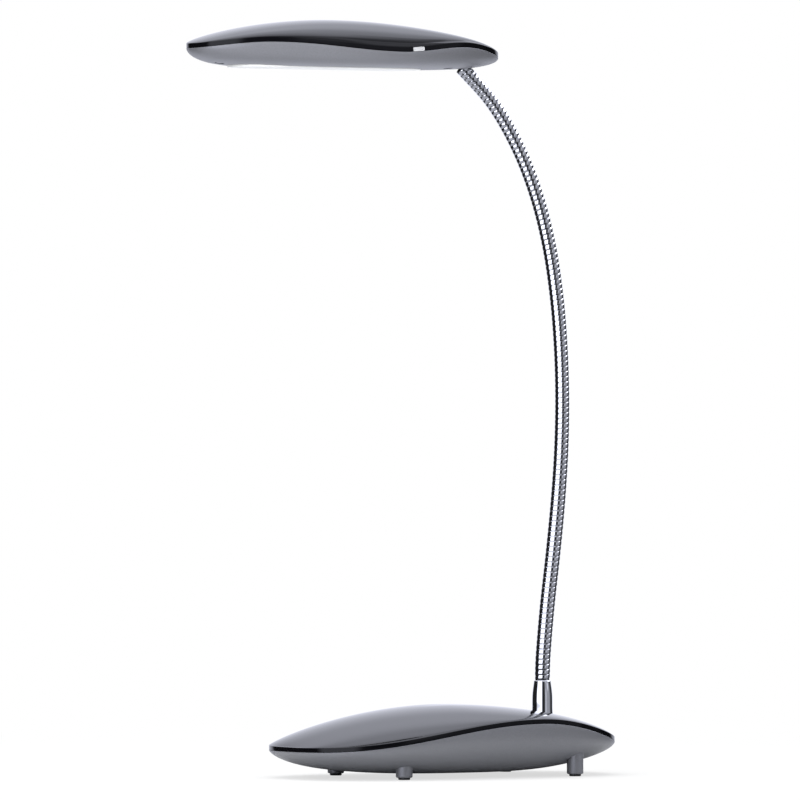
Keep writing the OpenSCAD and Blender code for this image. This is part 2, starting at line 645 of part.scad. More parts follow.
post_front_gap = 7;
post_back_gap = 10;
head_post_xy = [
    [-window_x - window_len / 2 - post_front_gap, 0],
    [window_len / 2 - window_x + post_back_gap, -window_w / 2],
    [window_len / 2 - window_x + post_back_gap, window_w / 2]
];
head_screw_len = 8.5;
head_post_r = 3.5;
head_split = 6.2;
head_seat = 3;
tail_lean = neck_lean[link_count + 1];
ferrule_r = 5.8;
ferrule_from = 4.5;
ferrule_len = 9.5;
clamp_floor = 3.25;
clamp_x = neck_entry - 7.2;
clamp_size = [9.6, 25, 5.4];
clamp_screw_y = 9.6;
clamp_seat = 1.8;
frame_wall = 1.5;
flange_z0 = 2.9;
flange_t = 1;
lip_w = 2;
board_t = 1.2;
chip_size = [3.5, 2.8, 0.8];
sink_t = 1.5;
fin_h = 5;
fin_t = 1.2;
sink_post_x = window_len / 2 - 9;
sink_post_y = window_w / 2 + 5;
sink_post_xy = [for (x = [-sink_post_x, sink_post_x], y = [-sink_post_y, sink_post_y]) [x, y]];
sink_post_r = 2.8;
sink_z = board_z + board_t + seat_gap;
sink_margin = 3.5;
strap_w = 6;
fin_pitch = 5;
fin_count = 5;
fin_inset = 18;
light_screw_len = 5.5;

module stadium(l, w, h) linear_extrude(h) {
    square([l - w, w], center = true);
    for (x = [-1, 1]) translate([x * (l - w) / 2, 0]) circle(r = w / 2);
}
module in_window() in_head() translate([-window_x, 0, 0]) children();

button_w = half_width(button_x, head_a, head_b, head_square);
button_yaw = atan((half_width(button_x - 1, head_a, head_b, head_square)
    - half_width(button_x + 1, head_a, head_b, head_square)) / 2);
button_tilt = atan((head_rim(button_x + 1) - head_rim(button_x - 1)) / 2);
button_z = head_rim(button_x);
button_deep = 4;
stem_r = 1;
stem_end = 7.5;
switch_y = 5.3;
switch_size = [8, 6, 6];
switch_board_t = 1.2;
flange_y = 2.5;
module at_switch() in_head() translate([button_x, -button_w, button_z]) rotate([0, 0, button_yaw]) children();
module at_button() at_switch() rotate([0, -button_tilt, 0]) children();

module head_lower_housing() color(silver_paint) difference() {
    union() {
        in_head() head_bowl_skin();
        in_head() for (p = head_post_xy) translate([p[0], p[1], head_wall])
            cylinder(r = head_post_r, h = head_split - parting_gap - head_wall);
        in_window() for (p = sink_post_xy) translate([p[0], p[1], head_wall])
            cylinder(r = sink_post_r, h = sink_z - seat_gap - head_wall);
        for (x = [-1, 1]) at_switch() translate([x * 5, switch_y + 3, -button_z + head_wall])
            cylinder(r = 1.6, h = button_z - switch_size[2] / 2 - switch_board_t - seat_gap - head_wall);
    }
    in_head() for (p = head_post_xy) translate([p[0], p[1], 0]) {
        cylinder(r = screw_hole_r + 0.1, h = head_split + 1);
        cylinder(r = screw_head_r, h = head_seat);
    }
    in_head() for (y = [-1, 1]) translate([clamp_x, y * clamp_screw_y, -1]) {
        cylinder(r = screw_hole_r + 0.1, h = 8);
        cylinder(r = screw_head_r, h = clamp_seat + 1);
    }
    in_window() translate([0, 0, -1]) stadium(window_len, window_w, 6);
    in_window() for (p = sink_post_xy) translate([p[0], p[1], 4]) cylinder(r = screw_hole_r - 0.3, h = 10);
    in_head() translate([neck_entry, 0, 0]) rotate([0, tail_lean, 0]) translate([0, 0, -8])
        cylinder(r = neck_r + 0.25, h = 20);
}

module head_top_cover() color(black_gloss) difference() {
    in_head() union() {
        head_cover_skin();
        for (p = head_post_xy) translate([p[0], p[1], head_split])
            cylinder(r = head_post_r, h = head_dome(p[0], p[1], head_wall) + head_wall / 2 - head_split);
    }
    in_head() for (p = head_post_xy) translate([p[0], p[1], head_split - 1]) cylinder(r = screw_hole_r, h = 6.5);
    at_button() translate([-button_len / 2 - button_gap, -3, -band_h / 2 - 1])
        cube([button_len + 2 * button_gap, 3 + flange_y - 0.1, band_h + 1 + button_gap]);
}

module diffuser() color(white_col) in_window() {
    translate([0, 0, -window_proud])
        stadium(window_len - 0.4, window_w - 0.4, flange_z0 + window_proud + tiny);
    translate([0, 0, flange_z0]) stadium(window_len + 2 * lip_w, window_w + 2 * lip_w, flange_t);
}

module light_frame() color(white_col) in_window() translate([0, 0, flange_z0 + flange_t]) difference() {
    stadium(window_len + 2 * lip_w, window_w + 2 * lip_w, board_z - flange_z0 - flange_t);
    translate([0, 0, -1])
        stadium(window_len + 2 * lip_w - 2 * frame_wall, window_w + 2 * lip_w - 2 * frame_wall, board_z);
}

module led_board() color(white_col) in_window() translate([0, 0, board_z])
    stadium(window_len + lip_w, window_w + lip_w, board_t);

module led_chips() color([0.95, 0.85, 0.4]) in_window()
    for (i = [0:chip_cols - 1], j = [0:chip_rows - 1])
        translate([
            (i - (chip_cols - 1) / 2) * (window_len - window_w) / (chip_cols - 1) - chip_size[0] / 2,
            (j - (chip_rows - 1) / 2) * window_w / (chip_rows + 1) - chip_size[1] / 2,
            board_z - chip_size[2]
        ]) cube(chip_size);

module heat_sink() color(steel_col) in_window() translate([0, 0, sink_z]) difference() {
    union() {
        stadium(window_len + lip_w - 2 * sink_margin, window_w + lip_w - 2 * sink_margin, sink_t);
        for (p = sink_post_xy) translate([p[0], p[1], 0]) cylinder(r = sink_post_r + 1, h = sink_t);
        for (x = [-sink_post_x, sink_post_x])
            translate([x - strap_w / 2, -sink_post_y, 0]) cube([strap_w, 2 * sink_post_y, sink_t]);
        for (i = [0:fin_count - 1]) translate([
            fin_inset - window_len / 2, (i - (fin_count - 1) / 2) * fin_pitch - fin_t / 2, sink_t - tiny
        ]) cube([window_len - 2 * fin_inset, fin_t, fin_h]);
    }
    for (p = sink_post_xy) translate([p[0], p[1], -1]) cylinder(r = screw_r + 0.2, h = sink_t + 2);
}

module light_screws() color(steel_col) in_window() for (p = sink_post_xy)
    translate([p[0], p[1], sink_z + sink_t]) pan_screw(screw_hole_r - 0.35, 2.2, 1.5, light_screw_len);

module head_screws() color(steel_col) in_head() for (p = head_post_xy) translate([p[0], p[1], head_seat])
    mirror([0, 0, 1]) pan_screw(screw_r, 2.4, 1.5, head_screw_len);

module head_ferrule() color(steel_col) in_head() difference() {
    translate([neck_entry, 0, 0]) rotate([0, tail_lean, 0]) translate([0, 0, ferrule_from])
        cylinder(r = ferrule_r, h = ferrule_len);
    translate([neck_entry, 0, 0]) rotate([0, tail_lean, 0]) cylinder(r = neck_r, h = 40);
    translate([0, -20, clamp_floor - 20]) cube([head_a, 40, 20]);
}

module ferrule_clamp() color(iron_col) in_head() difference() {
    translate([clamp_x - clamp_size[0] / 2, -clamp_size[1] / 2, clamp_floor]) cube(clamp_size);
    translate([neck_entry, 0, 0]) rotate([0, tail_lean, 0]) translate([0, 0, -10])
        cylinder(r = ferrule_r + seat_gap, h = 60);
    for (y = [-1, 1]) translate([clamp_x, y * clamp_screw_y, 0]) cylinder(r = screw_hole_r, h = 8);
}

module clamp_screws() color(steel_col) in_head() for (y = [-1, 1])
    translate([clamp_x, y * clamp_screw_y, clamp_seat]) mirror([0, 0, 1]) pan_screw(screw_r, 2.4, 1, 6);

module switch_button() color(silver_paint) union() {
    at_button() translate([0, button_deep, 0.05]) rotate([90, 0, 0])
        rounded_box([button_len, band_h - 0.1, button_deep + button_proud], 0.7);
    at_button() translate([-button_len / 2 - 1, flange_y, -1.7]) cube([button_len + 2, 1, 3.4]);
    at_switch() translate([0, button_deep - 0.5, 0]) rotate([-90, 0, 0])
        cylinder(r = stem_r, h = stem_end - button_deep + 0.5);
}

module switch_body() color(rubber_col) at_switch() difference() {
    translate([-switch_size[0] / 2, switch_y, -switch_size[2] / 2]) cube(switch_size);
    translate([0, switch_y - 1, 0]) rotate([-90, 0, 0]) cylinder(r = stem_r + seat_gap, h = 5.4);
}

module switch_board() color(board_col) at_switch()
    translate([-7, switch_y - 0.5, -switch_size[2] / 2 - switch_board_t]) cube([14, 10, switch_board_t]);

module switch_lead() color(rubber_col) in_head() tube(smooth([
    [button_x - 2, -button_w + 14, button_z - switch_size[2] / 2 + 0.1],
    [button_x - 2, -button_w + 14, button_z + 1],
    [button_x - 3, -button_w + 18, board_z + 4.5], [button_x - 5, -18, board_z + 4.5],
    [button_x - 6, -window_w / 2 - 0.2, board_z + board_t + 0.4]
]), 1.6, [1, 0.1, 0]);

module head_lead() color(rubber_col) in_head() tube(smooth([
    [neck_entry, 0, 0] + (tail_in + 2.6) * lean_dir(link_count + 1),
    [neck_entry - 15.5, 0, 14], [window_len / 2 - window_x + 8.4, 0, 13.5],
    [window_len / 2 - window_x - 0.7, 0, 13], [window_len / 2 - window_x - 0.7, 0, board_z + board_t + 0.4]
]), cable_d - 0.4, [0, 1, 0.01]);

base_top_cover();
base_lower_housing();
foot_posts();
foot_pads();
foot_screws();
ballast();
base_screws();
neck_collar();
collar_washer();
collar_locknut();
inlet_bezel();
dc_jack();
jack_pin();
driver_board();
driver_choke();
driver_capacitor();
driver_chips();
board_spacers();
driver_screws();
jack_lead();
base_lead();
neck_root();
neck_link(1);  // neck_link_01
neck_link(2);  // neck_link_02
neck_link(3);  // neck_link_03
neck_link(4);  // neck_link_04
neck_link(5);  // neck_link_05
neck_link(6);  // neck_link_06
neck_link(7);  // neck_link_07
neck_link(8);  // neck_link_08
neck_link(9);  // neck_link_09
neck_link(10);  // neck_link_10
neck_link(11);  // neck_link_11
neck_tail();
neck_cable();
head_lower_housing();
head_top_cover();
diffuser();
light_frame();
led_board();
led_chips();
heat_sink();
light_screws();
head_screws();
head_ferrule();
ferrule_clamp();
clamp_screws();
switch_button();
switch_body();
switch_board();
switch_lead();
head_lead();
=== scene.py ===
import json
import math

import bmesh
import bpy
import numpy as np
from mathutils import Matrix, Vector


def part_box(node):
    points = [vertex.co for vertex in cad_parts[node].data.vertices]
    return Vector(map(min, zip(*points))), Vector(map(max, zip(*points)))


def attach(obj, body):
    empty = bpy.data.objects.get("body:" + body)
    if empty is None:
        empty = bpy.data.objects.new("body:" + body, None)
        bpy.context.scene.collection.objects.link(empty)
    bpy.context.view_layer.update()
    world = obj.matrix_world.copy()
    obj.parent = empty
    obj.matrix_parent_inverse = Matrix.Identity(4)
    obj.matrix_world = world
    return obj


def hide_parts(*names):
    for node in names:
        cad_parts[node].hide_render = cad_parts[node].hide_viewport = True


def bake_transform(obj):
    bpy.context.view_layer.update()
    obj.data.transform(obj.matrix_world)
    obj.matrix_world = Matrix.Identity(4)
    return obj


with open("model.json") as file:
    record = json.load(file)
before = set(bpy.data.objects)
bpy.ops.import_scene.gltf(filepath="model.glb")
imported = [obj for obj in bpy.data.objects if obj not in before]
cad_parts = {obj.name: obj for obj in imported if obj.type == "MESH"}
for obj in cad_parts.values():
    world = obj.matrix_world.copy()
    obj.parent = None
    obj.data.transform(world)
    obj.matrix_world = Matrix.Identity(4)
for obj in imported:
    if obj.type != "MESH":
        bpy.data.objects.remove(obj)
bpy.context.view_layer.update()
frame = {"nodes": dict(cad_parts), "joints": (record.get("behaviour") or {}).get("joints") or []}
mm = 0.001
print("stage: frame loaded,", len(frame["nodes"]), "nodes")


# places come from the frame's boxes and joints, in millimetres
def nodeBox(name):
    low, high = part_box(name)
    return np.array(low) / mm, np.array(high) / mm


def middleX(name):
    low, high = nodeBox(name)
    return (low[0] + high[0]) / 2


baseX = middleX("base_top_cover")
headX = middleX("head_top_cover")
collarX = middleX("neck_collar")
headZ = nodeBox("head_lower_housing")[0][2]
hinges = [joint for joint in frame["joints"] if joint["type"] == "hinge"]
pivots = [np.array(joint["pos_m"]) / mm for joint in hinges]

cameraPlan = {
    "azimuth": -30.0,        # the head's end is nearer
    "distance": 5500.0,
    "mmPerPixel": 0.555,
    "basePixel": 442.5,      # column of the base's middle
    "floorPixel": 776.0,     # row of the floor under it
    "frame": 800.0,
    "sensor": 36.0,
    "clipEnd": 100.0,        # metres
}


def makeCamera(plan):
    a = math.radians(plan["azimuth"])
    towards = Vector((-math.sin(-a), -math.cos(a), 0))
    right = Vector((math.cos(a), math.sin(a), 0))
    half = plan["frame"] / 2
    aside = (half - plan["basePixel"]) * plan["mmPerPixel"]
    up = (plan["floorPixel"] - half) * plan["mmPerPixel"]
    target = Vector((baseX, 0, up)) + right * aside
    data = bpy.data.cameras.new("camera")
    data.sensor_width = plan["sensor"]
    data.lens = plan["sensor"] * plan["distance"] / (plan["frame"] * plan["mmPerPixel"])
    data.clip_end = plan["clipEnd"]
    camera = bpy.data.objects.new("camera", data)
    camera.location = (target + towards * plan["distance"]) * mm
    camera.rotation_euler = (-towards).to_track_quat("-Z", "Y").to_euler()
    bpy.context.scene.collection.objects.link(camera)
    bpy.context.scene.camera = camera
    return towards, right


cameraWay, cameraRight = makeCamera(cameraPlan)
print("stage: camera")


# helpers for shader nodes
def emptyTree(owner):
    owner.use_nodes = True
    owner.node_tree.nodes.clear()
    return owner.node_tree


def addNode(tree, kind, inputs=None, **settings):
    # an input is a value, or a socket that is linked
    node = tree.nodes.new(kind)
    for key, value in settings.items():
        setattr(node, key, value)
    for key, value in (inputs or {}).items():
        if isinstance(value, bpy.types.NodeSocket):
            tree.links.new(value, node.inputs[key])
        else:
            node.inputs[key].default_value = value
    return node


def addMath(tree, operation, *values):
    return addNode(tree, "ShaderNodeMath", dict(enumerate(values)), operation=operation).outputs[0]


def addGroup(tree, group, inputs):
    return addNode(tree, "ShaderNodeGroup", inputs, node_tree=group)


def newGroup(name, inputs, outputs):
    # inputs give each name's first value, None for a colour; outputs give each name's kind
    group = bpy.data.node_groups.new(name, "ShaderNodeTree")
    for socketName, value in inputs.items():
        kind = "NodeSocketColor" if value is None else "NodeSocketFloat"
        socket = group.interface.new_socket(socketName, in_out="INPUT", socket_type=kind)
        if value is not None:
            socket.default_value = value
    for socketName, kind in outputs.items():
        group.interface.new_socket(socketName, in_out="OUTPUT", socket_type="NodeSocket" + kind)
    return group, group.nodes.new("NodeGroupInput").outputs, group.nodes.new("NodeGroupOutput").inputs


# effects shared by several finishes; scales are per metre
effects = {
    "smearDetail": 4.0, "smearRough": 0.6, "smearRange": (0.12, 0.42),
    "scratchScale": 900.0, "scratchDetail": 2.0,
    "grainDetail": 3.0, "grainRough": 0.55, "driftScale": 24.0, "driftDetail": 2.0,
}


def makePolishGroup(plan):
    # faint polishing marks and handling smears: roughness that varies, and a colour mask
    group, given, made = newGroup("polishMarks", {"Scale": 60.0, "Roughness": 0.05, "Variation": 0.04},
                                  {"Roughness": "Float", "Mask": "Float"})
    place = addNode(group, "ShaderNodeTexCoord").outputs["Object"]
    smear = addNode(group, "ShaderNodeTexNoise", {
        "Vector": place, "Scale": given["Scale"], "Detail": plan["smearDetail"],
        "Roughness": plan["smearRough"]})
    scratch = addNode(group, "ShaderNodeTexNoise", {
        "Vector": place, "Scale": plan["scratchScale"], "Detail": plan["scratchDetail"]})
    both = addMath(group, "MULTIPLY", smear.outputs["Fac"], scratch.outputs["Fac"])
    low, high = plan["smearRange"]
    shaped = addNode(group, "ShaderNodeMapRange", {"Value": both, "From Min": low, "From Max": high})
    mask = shaped.outputs["Result"]
    rough = addMath(group, "ADD", addMath(group, "MULTIPLY", mask, given["Variation"]), given["Roughness"])
    group.links.new(rough, made["Roughness"])
    group.links.new(mask, made["Mask"])
    return group


def shadeColor(group, color, value, amount):
    # the colour made lighter or darker by a value round one half
    change = addMath(group, "MULTIPLY", addMath(group, "SUBTRACT", value, 0.5), amount)
    return addNode(group, "ShaderNodeVectorMath", {0: color, "Scale": addMath(group, "ADD", change, 1.0)},
                   operation="SCALE").outputs[0]


def makeFlakeGroup():
    # metal flake in paint: small cells that differ in brightness and in height
    group, given, made = newGroup("metalFlake", {"Color": None, "Cells": 2600.0, "Amount": 0.1},
                                  {"Color": "Color", "Height": "Float"})
    place = addNode(group, "ShaderNodeTexCoord").outputs["Object"]
    cells = addNode(group, "ShaderNodeTexVoronoi", {"Vector": place, "Scale": given["Cells"]})
    value = addNode(group, "ShaderNodeSeparateColor", {"Color": cells.outputs["Color"]})
    group.links.new(shadeColor(group, given["Color"], value.outputs[0], given["Amount"]), made["Color"])
    group.links.new(value.outputs[1], made["Height"])
    return group


def makeGrainGroup(plan):
    # fine moulded or cast grain as a height, with a soft colour drift
    group, given, made = newGroup("surfaceGrain", {"Color": None, "Scale": 700.0, "Drift": 0.1},
                                  {"Color": "Color", "Height": "Float"})
    place = addNode(group, "ShaderNodeTexCoord").outputs["Object"]
    grain = addNode(group, "ShaderNodeTexNoise", {
        "Vector": place, "Scale": given["Scale"], "Detail": plan["grainDetail"],
        "Roughness": plan["grainRough"]})
    broad = addNode(group, "ShaderNodeTexNoise", {
        "Vector": place, "Scale": plan["driftScale"], "Detail": plan["driftDetail"]})
    group.links.new(shadeColor(group, given["Color"], broad.outputs["Fac"], given["Drift"]), made["Color"])
    group.links.new(grain.outputs["Fac"], made["Height"])
    return group


polishMarks = makePolishGroup(effects)
metalFlake = makeFlakeGroup()
surfaceGrain = makeGrainGroup(effects)

# what all finishes of one kind share; depths are in metres
kindPlans = {
    "lacquer": {"marks": 35.0, "smear": 1.25},
    "paint": {"marks": 30.0, "vary": 0.05, "cells": 2600.0, "bump": 0.04, "depth": 0.00005},
    "metal": {"marks": 80.0, "smear": 0.9},
    "opal": {"scale": 400.0, "drift": 0.03, "prisms": 620.0, "bump": 0.35, "depth": 0.0004, "scatter": 0.3,
             "scatterReach": 0.004},
    "grain": {"drift": 0.25, "depth": 0.0001},
}
finishes = {
    "coverGloss": {"kind": "lacquer", "color": (0.004, 0.004, 0.005), "rough": 0.03, "vary": 0.02,
                   "ior": 1.5},
    "bandGloss": {"kind": "lacquer", "color": (0.003, 0.003, 0.004), "rough": 0.06, "vary": 0.02,
                  "ior": 1.3},
    "silverPaint": {"kind": "paint", "color": (0.222, 0.227, 0.252), "rough": 0.4, "flake": 0.12,
                    "metallic": 0.3},
    "buttonPaint": {"kind": "paint", "color": (0.82, 0.83, 0.85), "rough": 0.25, "flake": 0.06,
                    "metallic": 0.4},
    "polishedChrome": {"kind": "metal", "color": (0.83, 0.84, 0.855), "rough": 0.035, "vary": 0.03},
    # painted shade: a dark metal on the groove faces and the filler wire that stands in for the shade down in
    # the winding's grooves
    "valleyPaintedShade": {"kind": "metal", "color": (0.12, 0.12, 0.125), "rough": 0.35, "vary": 0.1},
    "plainSteel": {"kind": "metal", "color": (0.55, 0.56, 0.58), "rough": 0.3, "vary": 0.15},
    "sinkAluminium": {"kind": "metal", "color": (0.7, 0.7, 0.72), "rough": 0.38, "vary": 0.15},
    "opalPlastic": {"kind": "opal", "color": (0.87, 0.88, 0.88), "rough": 0.38},
    "castIron": {"kind": "grain", "color": (0.05, 0.05, 0.055), "rough": 0.65, "scale": 420.0, "bump": 0.35},
    "padRubber": {"kind": "grain", "color": (0.016, 0.016, 0.018), "rough": 0.7, "scale": 900.0,
                  "bump": 0.15},
    "leadSleeve": {"kind": "grain", "color": (0.02, 0.02, 0.022), "rough": 0.5, "scale": 700.0, "bump": 0.1},
    "mouldedBlack": {"kind": "grain", "color": (0.014, 0.014, 0.015), "rough": 0.45, "scale": 800.0,
                     "bump": 0.12},
    "whiteMask": {"kind": "grain", "color": (0.8, 0.8, 0.79), "rough": 0.4, "scale": 500.0, "bump": 0.05},
    "greenMask": {"kind": "grain", "color": (0.02, 0.15, 0.06), "rough": 0.3, "scale": 500.0, "bump": 0.1},
    "phosphor": {"kind": "grain", "color": (0.85, 0.68, 0.16), "rough": 0.5, "scale": 900.0, "bump": 0.08},
    "canSleeve": {"kind": "grain", "color": (0.06, 0.07, 0.12), "rough": 0.25, "scale": 300.0, "bump": 0.03},
}


def opaque(color, share=1):
    return tuple(c * share for c in color) + (1,)


def addMarks(tree, shader, plan):
    marks = addGroup(tree, polishMarks, {
        "Scale": plan["marks"], "Roughness": plan["rough"], "Variation": plan["vary"]})
    tree.links.new(marks.outputs["Roughness"], shader.inputs["Roughness"])
    return marks.outputs["Mask"]


def addSmears(tree, shader, plan):
    tint = addNode(tree, "ShaderNodeMix", {
        "Factor": addMarks(tree, shader, plan), "A": opaque(plan["color"]),
        "B": opaque(plan["color"], plan["smear"])}, data_type="RGBA")
    tree.links.new(tint.outputs["Result"], shader.inputs["Base Color"])


def addBump(tree, shader, plan, height):
    bump = addNode(tree, "ShaderNodeBump", {
        "Strength": plan["bump"], "Distance": plan["depth"], "Height": height})
    tree.links.new(bump.outputs["Normal"], shader.inputs["Normal"])


def addGrain(tree, shader, plan):
    grain = addGroup(tree, surfaceGrain, {
        "Color": opaque(plan["color"]), "Scale": plan["scale"], "Drift": plan["drift"]})
    shader.inputs["Roughness"].default_value = plan["rough"]
    tree.links.new(grain.outputs["Color"], shader.inputs["Base Color"])
    return grain.outputs["Height"]


def fillLacquer(tree, shader, plan):
    shader.inputs["IOR"].default_value = plan["ior"]
    addSmears(tree, shader, plan)


def fillMetal(tree, shader, plan):
    shader.inputs["Metallic"].default_value = 1.0
    addSmears(tree, shader, plan)


def fillPaint(tree, shader, plan):
    flake = addGroup(tree, metalFlake, {
        "Color": opaque(plan["color"]), "Cells": plan["cells"], "Amount": plan["flake"]})
    shader.inputs["Metallic"].default_value = plan["metallic"]
    tree.links.new(flake.outputs["Color"], shader.inputs["Base Color"])
    addMarks(tree, shader, plan)
    addBump(tree, shader, plan, flake.outputs["Height"])


def fillOpal(tree, shader, plan):
    # the sheet scatters light, and its underside is moulded in small prisms
    addGrain(tree, shader, plan)
    place = addNode(tree, "ShaderNodeTexCoord").outputs["Object"]
    prisms = addNode(tree, "ShaderNodeTexVoronoi", {
        "Vector": place, "Scale": plan["prisms"], "Randomness": 0.0})
    shader.inputs["Subsurface Weight"].default_value = plan["scatter"]
    shader.inputs["Subsurface Radius"].default_value = (plan["scatterReach"],) * 3
    addBump(tree, shader, plan, prisms.outputs["Distance"])


def fillGrain(tree, shader, plan):
    addBump(tree, shader, plan, addGrain(tree, shader, plan))


fillers = {
    "lacquer": fillLacquer, "metal": fillMetal, "paint": fillPaint, "opal": fillOpal, "grain": fillGrain,
}


def makeFinish(name, plan):
    material = bpy.data.materials.new(name)
    tree = emptyTree(material)
    out = tree.nodes.new("ShaderNodeOutputMaterial")
    shader = addNode(tree, "ShaderNodeBsdfPrincipled", {"Base Color": opaque(plan["color"])})
    tree.links.new(shader.outputs["BSDF"], out.inputs["Surface"])
    fillers[plan["kind"]](tree, shader, {**kindPlans[plan["kind"]], **plan})
    return material


finish = {name: makeFinish(name, plan) for name, plan in finishes.items()}
print("stage: finishes", len(finish))

sharpAngle = 32      # degrees between faces that stay a sharp edge
clear = 5.0          # how far a cutter runs past a shell's top
under = 1.0          # and past its underside


# helpers for meshes; points are in millimetres
def makeObject(name, points, faces, materials, faceSlots=None, smooth=True):
    mesh = bpy.data.meshes.new(name)
    mesh.from_pydata([tuple(p) for p in np.asarray(points) * mm], [], [tuple(f) for f in faces])
    for material in materials:
        mesh.materials.append(material)
    if faceSlots is not None:
        mesh.polygons.foreach_set("material_index", np.asarray(faceSlots, dtype=np.int32))
    mesh.polygons.foreach_set("use_smooth", [smooth] * len(mesh.polygons))
    mesh.validate()
    obj = bpy.data.objects.new(name, mesh)
    bpy.context.scene.collection.objects.link(obj)
    return obj


def sharpen(obj, degrees=sharpAngle):
    obj.data.set_sharp_from_angle(angle=math.radians(degrees))


def fixNormals(obj):
    bm = bmesh.new()
    bm.from_mesh(obj.data)
    bmesh.ops.recalc_face_normals(bm, faces=bm.faces)
    bm.to_mesh(obj.data)
    bm.free()


def gridFaces(rows, count, first=0, flip=False):
    # faces between rows of points, where each row is a closed ring
    faces = []
    for i in range(rows - 1):
        low, high = first + i * count, first + (i + 1) * count
        for k in range(count):
            q = (k + 1) % count
            face = (low + k, low + q, high + q, high + k)
            faces.append(face[::-1] if flip else face)
    return faces


def ringCaps(rows, count):
    return [tuple(range(count))[::-1], tuple(range((rows - 1) * count, rows * count))]


def circlePoints(count):
    return [(math.cos(2 * math.pi * k / count), math.sin(2 * math.pi * k / count)) for k in range(count)]


def lathe(name, profile, material, sides, x):
    # profile is a closed loop of (radius, height) points, turned round an upright axis at x
    points = [(x + r * c, r * s, z) for c, s in circlePoints(sides) for r, z in profile]
    faces = gridFaces(sides, len(profile), flip=True)
    m = len(profile)
    last = (sides - 1) * m
    faces += [(last + i, i, (i + 1) % m, last + (i + 1) % m) for i in range(m)]
    return makeObject(name, points, faces, [material])


def prismCutter(points):
    # points hold the lower ring, then the upper one
    n = len(points) // 2
    cutter = makeObject("cutter", points, gridFaces(2, n) + ringCaps(2, n), [finish["mouldedBlack"]],
                        smooth=False)
    fixNormals(cutter)
    return cutter


def cylinderCutter(centre, radius, low, high, sides=64, way=(0, 0, 1)):
    # way is the cutter's direction; low and high are measured along it from centre
    way = Vector(way).normalized()
    side = way.orthogonal().normalized()
    other = way.cross(side)
    return prismCutter([tuple(Vector(centre) + way * h + (side * c + other * s) * radius)
                        for h in (low, high) for c, s in circlePoints(sides)])


def cutAway(obj, cutters):
    for cutter in cutters:
        mod = obj.modifiers.new("cut", "BOOLEAN")
        mod.operation = "DIFFERENCE"
        mod.solver = "EXACT"
        mod.object = cutter
    bpy.context.view_layer.update()
    graph = bpy.context.evaluated_depsgraph_get()
    mesh = bpy.data.meshes.new_from_object(obj.evaluated_get(graph))
    obj.modifiers.clear()
    obj.data = mesh
    for cutter in cutters:
        bpy.data.objects.remove(cutter)
    sharpen(obj)


# the two shell pairs: an outline in plan, a wavy parting line, a dome above it and a bowl below
baseForm = {
    "a": 100.3, "b": 60.0, "square": 2.6, "top": 39.8, "lift": 2.2, "wall": 2.2, "band": 2.4, "gap": 0.1,
    "peak": 31.4, "peakX": 30.0, "front": 16.6, "back": 18.0, "reachFront": 132.0, "reachBack": 72.0,
    "bendFront": 2, "bendBack": 1.2, "crownFront": (1.7, 0.74), "crownBack": (2.0, 0.62), "hull": (4.0, 0.66),
    "side": 0.75,
}
headForm = {
    "a": 95.0, "b": 42.0, "square": 2.2, "top": 26.39, "lift": 0.0, "wall": 1.8, "band": 2.4, "gap": 0.1,
    "waveAt": (-1.35, -0.66, 0.16, 0.62, 1.25), "waveZ": (7.7, 13.8, 9.4, 12.8, 4.7), "peakU": -0.1,
    "crownFront": (12.2, 0.9, 0.85), "crownBack": (9.0, 1.1, 0.8), "hull": (8.0, 0.55), "side": 0.5,
}
shellPlan = {
    "around": 288, "outerRings": 44, "innerRings": 10, "ringPower": 0.6,
    "coverRound": 0.25, "housingRound": 0.2, "cornerShare": 0.3, "bandEnd": 0.15, "underEdge": 0.02,
}


def halfWidth(x, a, b, n):
    return b * np.clip(1 - np.clip(np.abs(x) / a, 0, 1) ** n, 0, None) ** (1 / n)


def arch(u, low, high, p, q):
    return low + (high - low) * np.clip(1 - np.clip(np.abs(u), 0, 1) ** p, 0, None) ** q


def baseRim(x):
    f = baseForm
    away = np.abs(x - f["peakX"])

    def slope(end, reach, bend):
        return end + (f["peak"] - end) * np.cos(np.pi / 2 * np.clip(away / reach, 0, 1)) ** bend

    return np.where(x < f["peakX"], slope(f["front"], f["reachFront"], f["bendFront"]),
                    slope(f["back"], f["reachBack"], f["bendBack"]))


def baseCrown(x):
    f = baseForm
    return np.where(x < 0, arch(x / f["a"], f["front"], f["top"], *f["crownFront"]),
                    arch(x / f["a"], f["back"], f["top"], *f["crownBack"]))


def headRim(x):
    f = headForm
    u = x / f["a"]
    at, z = f["waveAt"], f["waveZ"]
    out = np.full(np.shape(u), z[0], float)
    for i in range(len(at) - 1):
        t = np.clip((u - at[i]) / (at[i + 1] - at[i]), 0, 1)
        out = np.where(u > at[i], z[i] + (z[i + 1] - z[i]) * (1 - np.cos(np.pi * t)) / 2, out)
    return out


def headCrown(x):
    f = headForm
    u = x / f["a"] - f["peakU"]

    def side(end, reach, power):
        return arch(u / reach, end, f["top"], 2, power)

    return np.where(u < 0, side(*f["crownFront"]), side(*f["crownBack"]))


def domeHeight(form, rim, crown, x, y, wall):
    w = halfWidth(x, form["a"] - wall, form["b"] - wall, form["square"])
    tiny = 0.01      # at its very ends the outline has no width to share
    s = np.where(w > tiny, np.clip(np.abs(y) / np.maximum(w, tiny), 0, 1), 1)
    edge = rim(x) + form["band"] / 2
    return edge + np.clip(crown(x) - wall - edge, 0, None) * (1 - s * s) ** form["side"]


def bowlHeight(form, rim, x, rho, wall):
    edge = rim(x) - form["band"] / 2 - form["gap"]
    p, q = form["hull"]
    return edge - np.clip(edge - form["lift"] - wall, 0, None) * (1 - rho ** p) ** q


def ringShares(count):
    # shares of the outline, closer together near the edge
    return np.cos(np.pi / 2 * np.arange(count) / count) ** shellPlan["ringPower"]


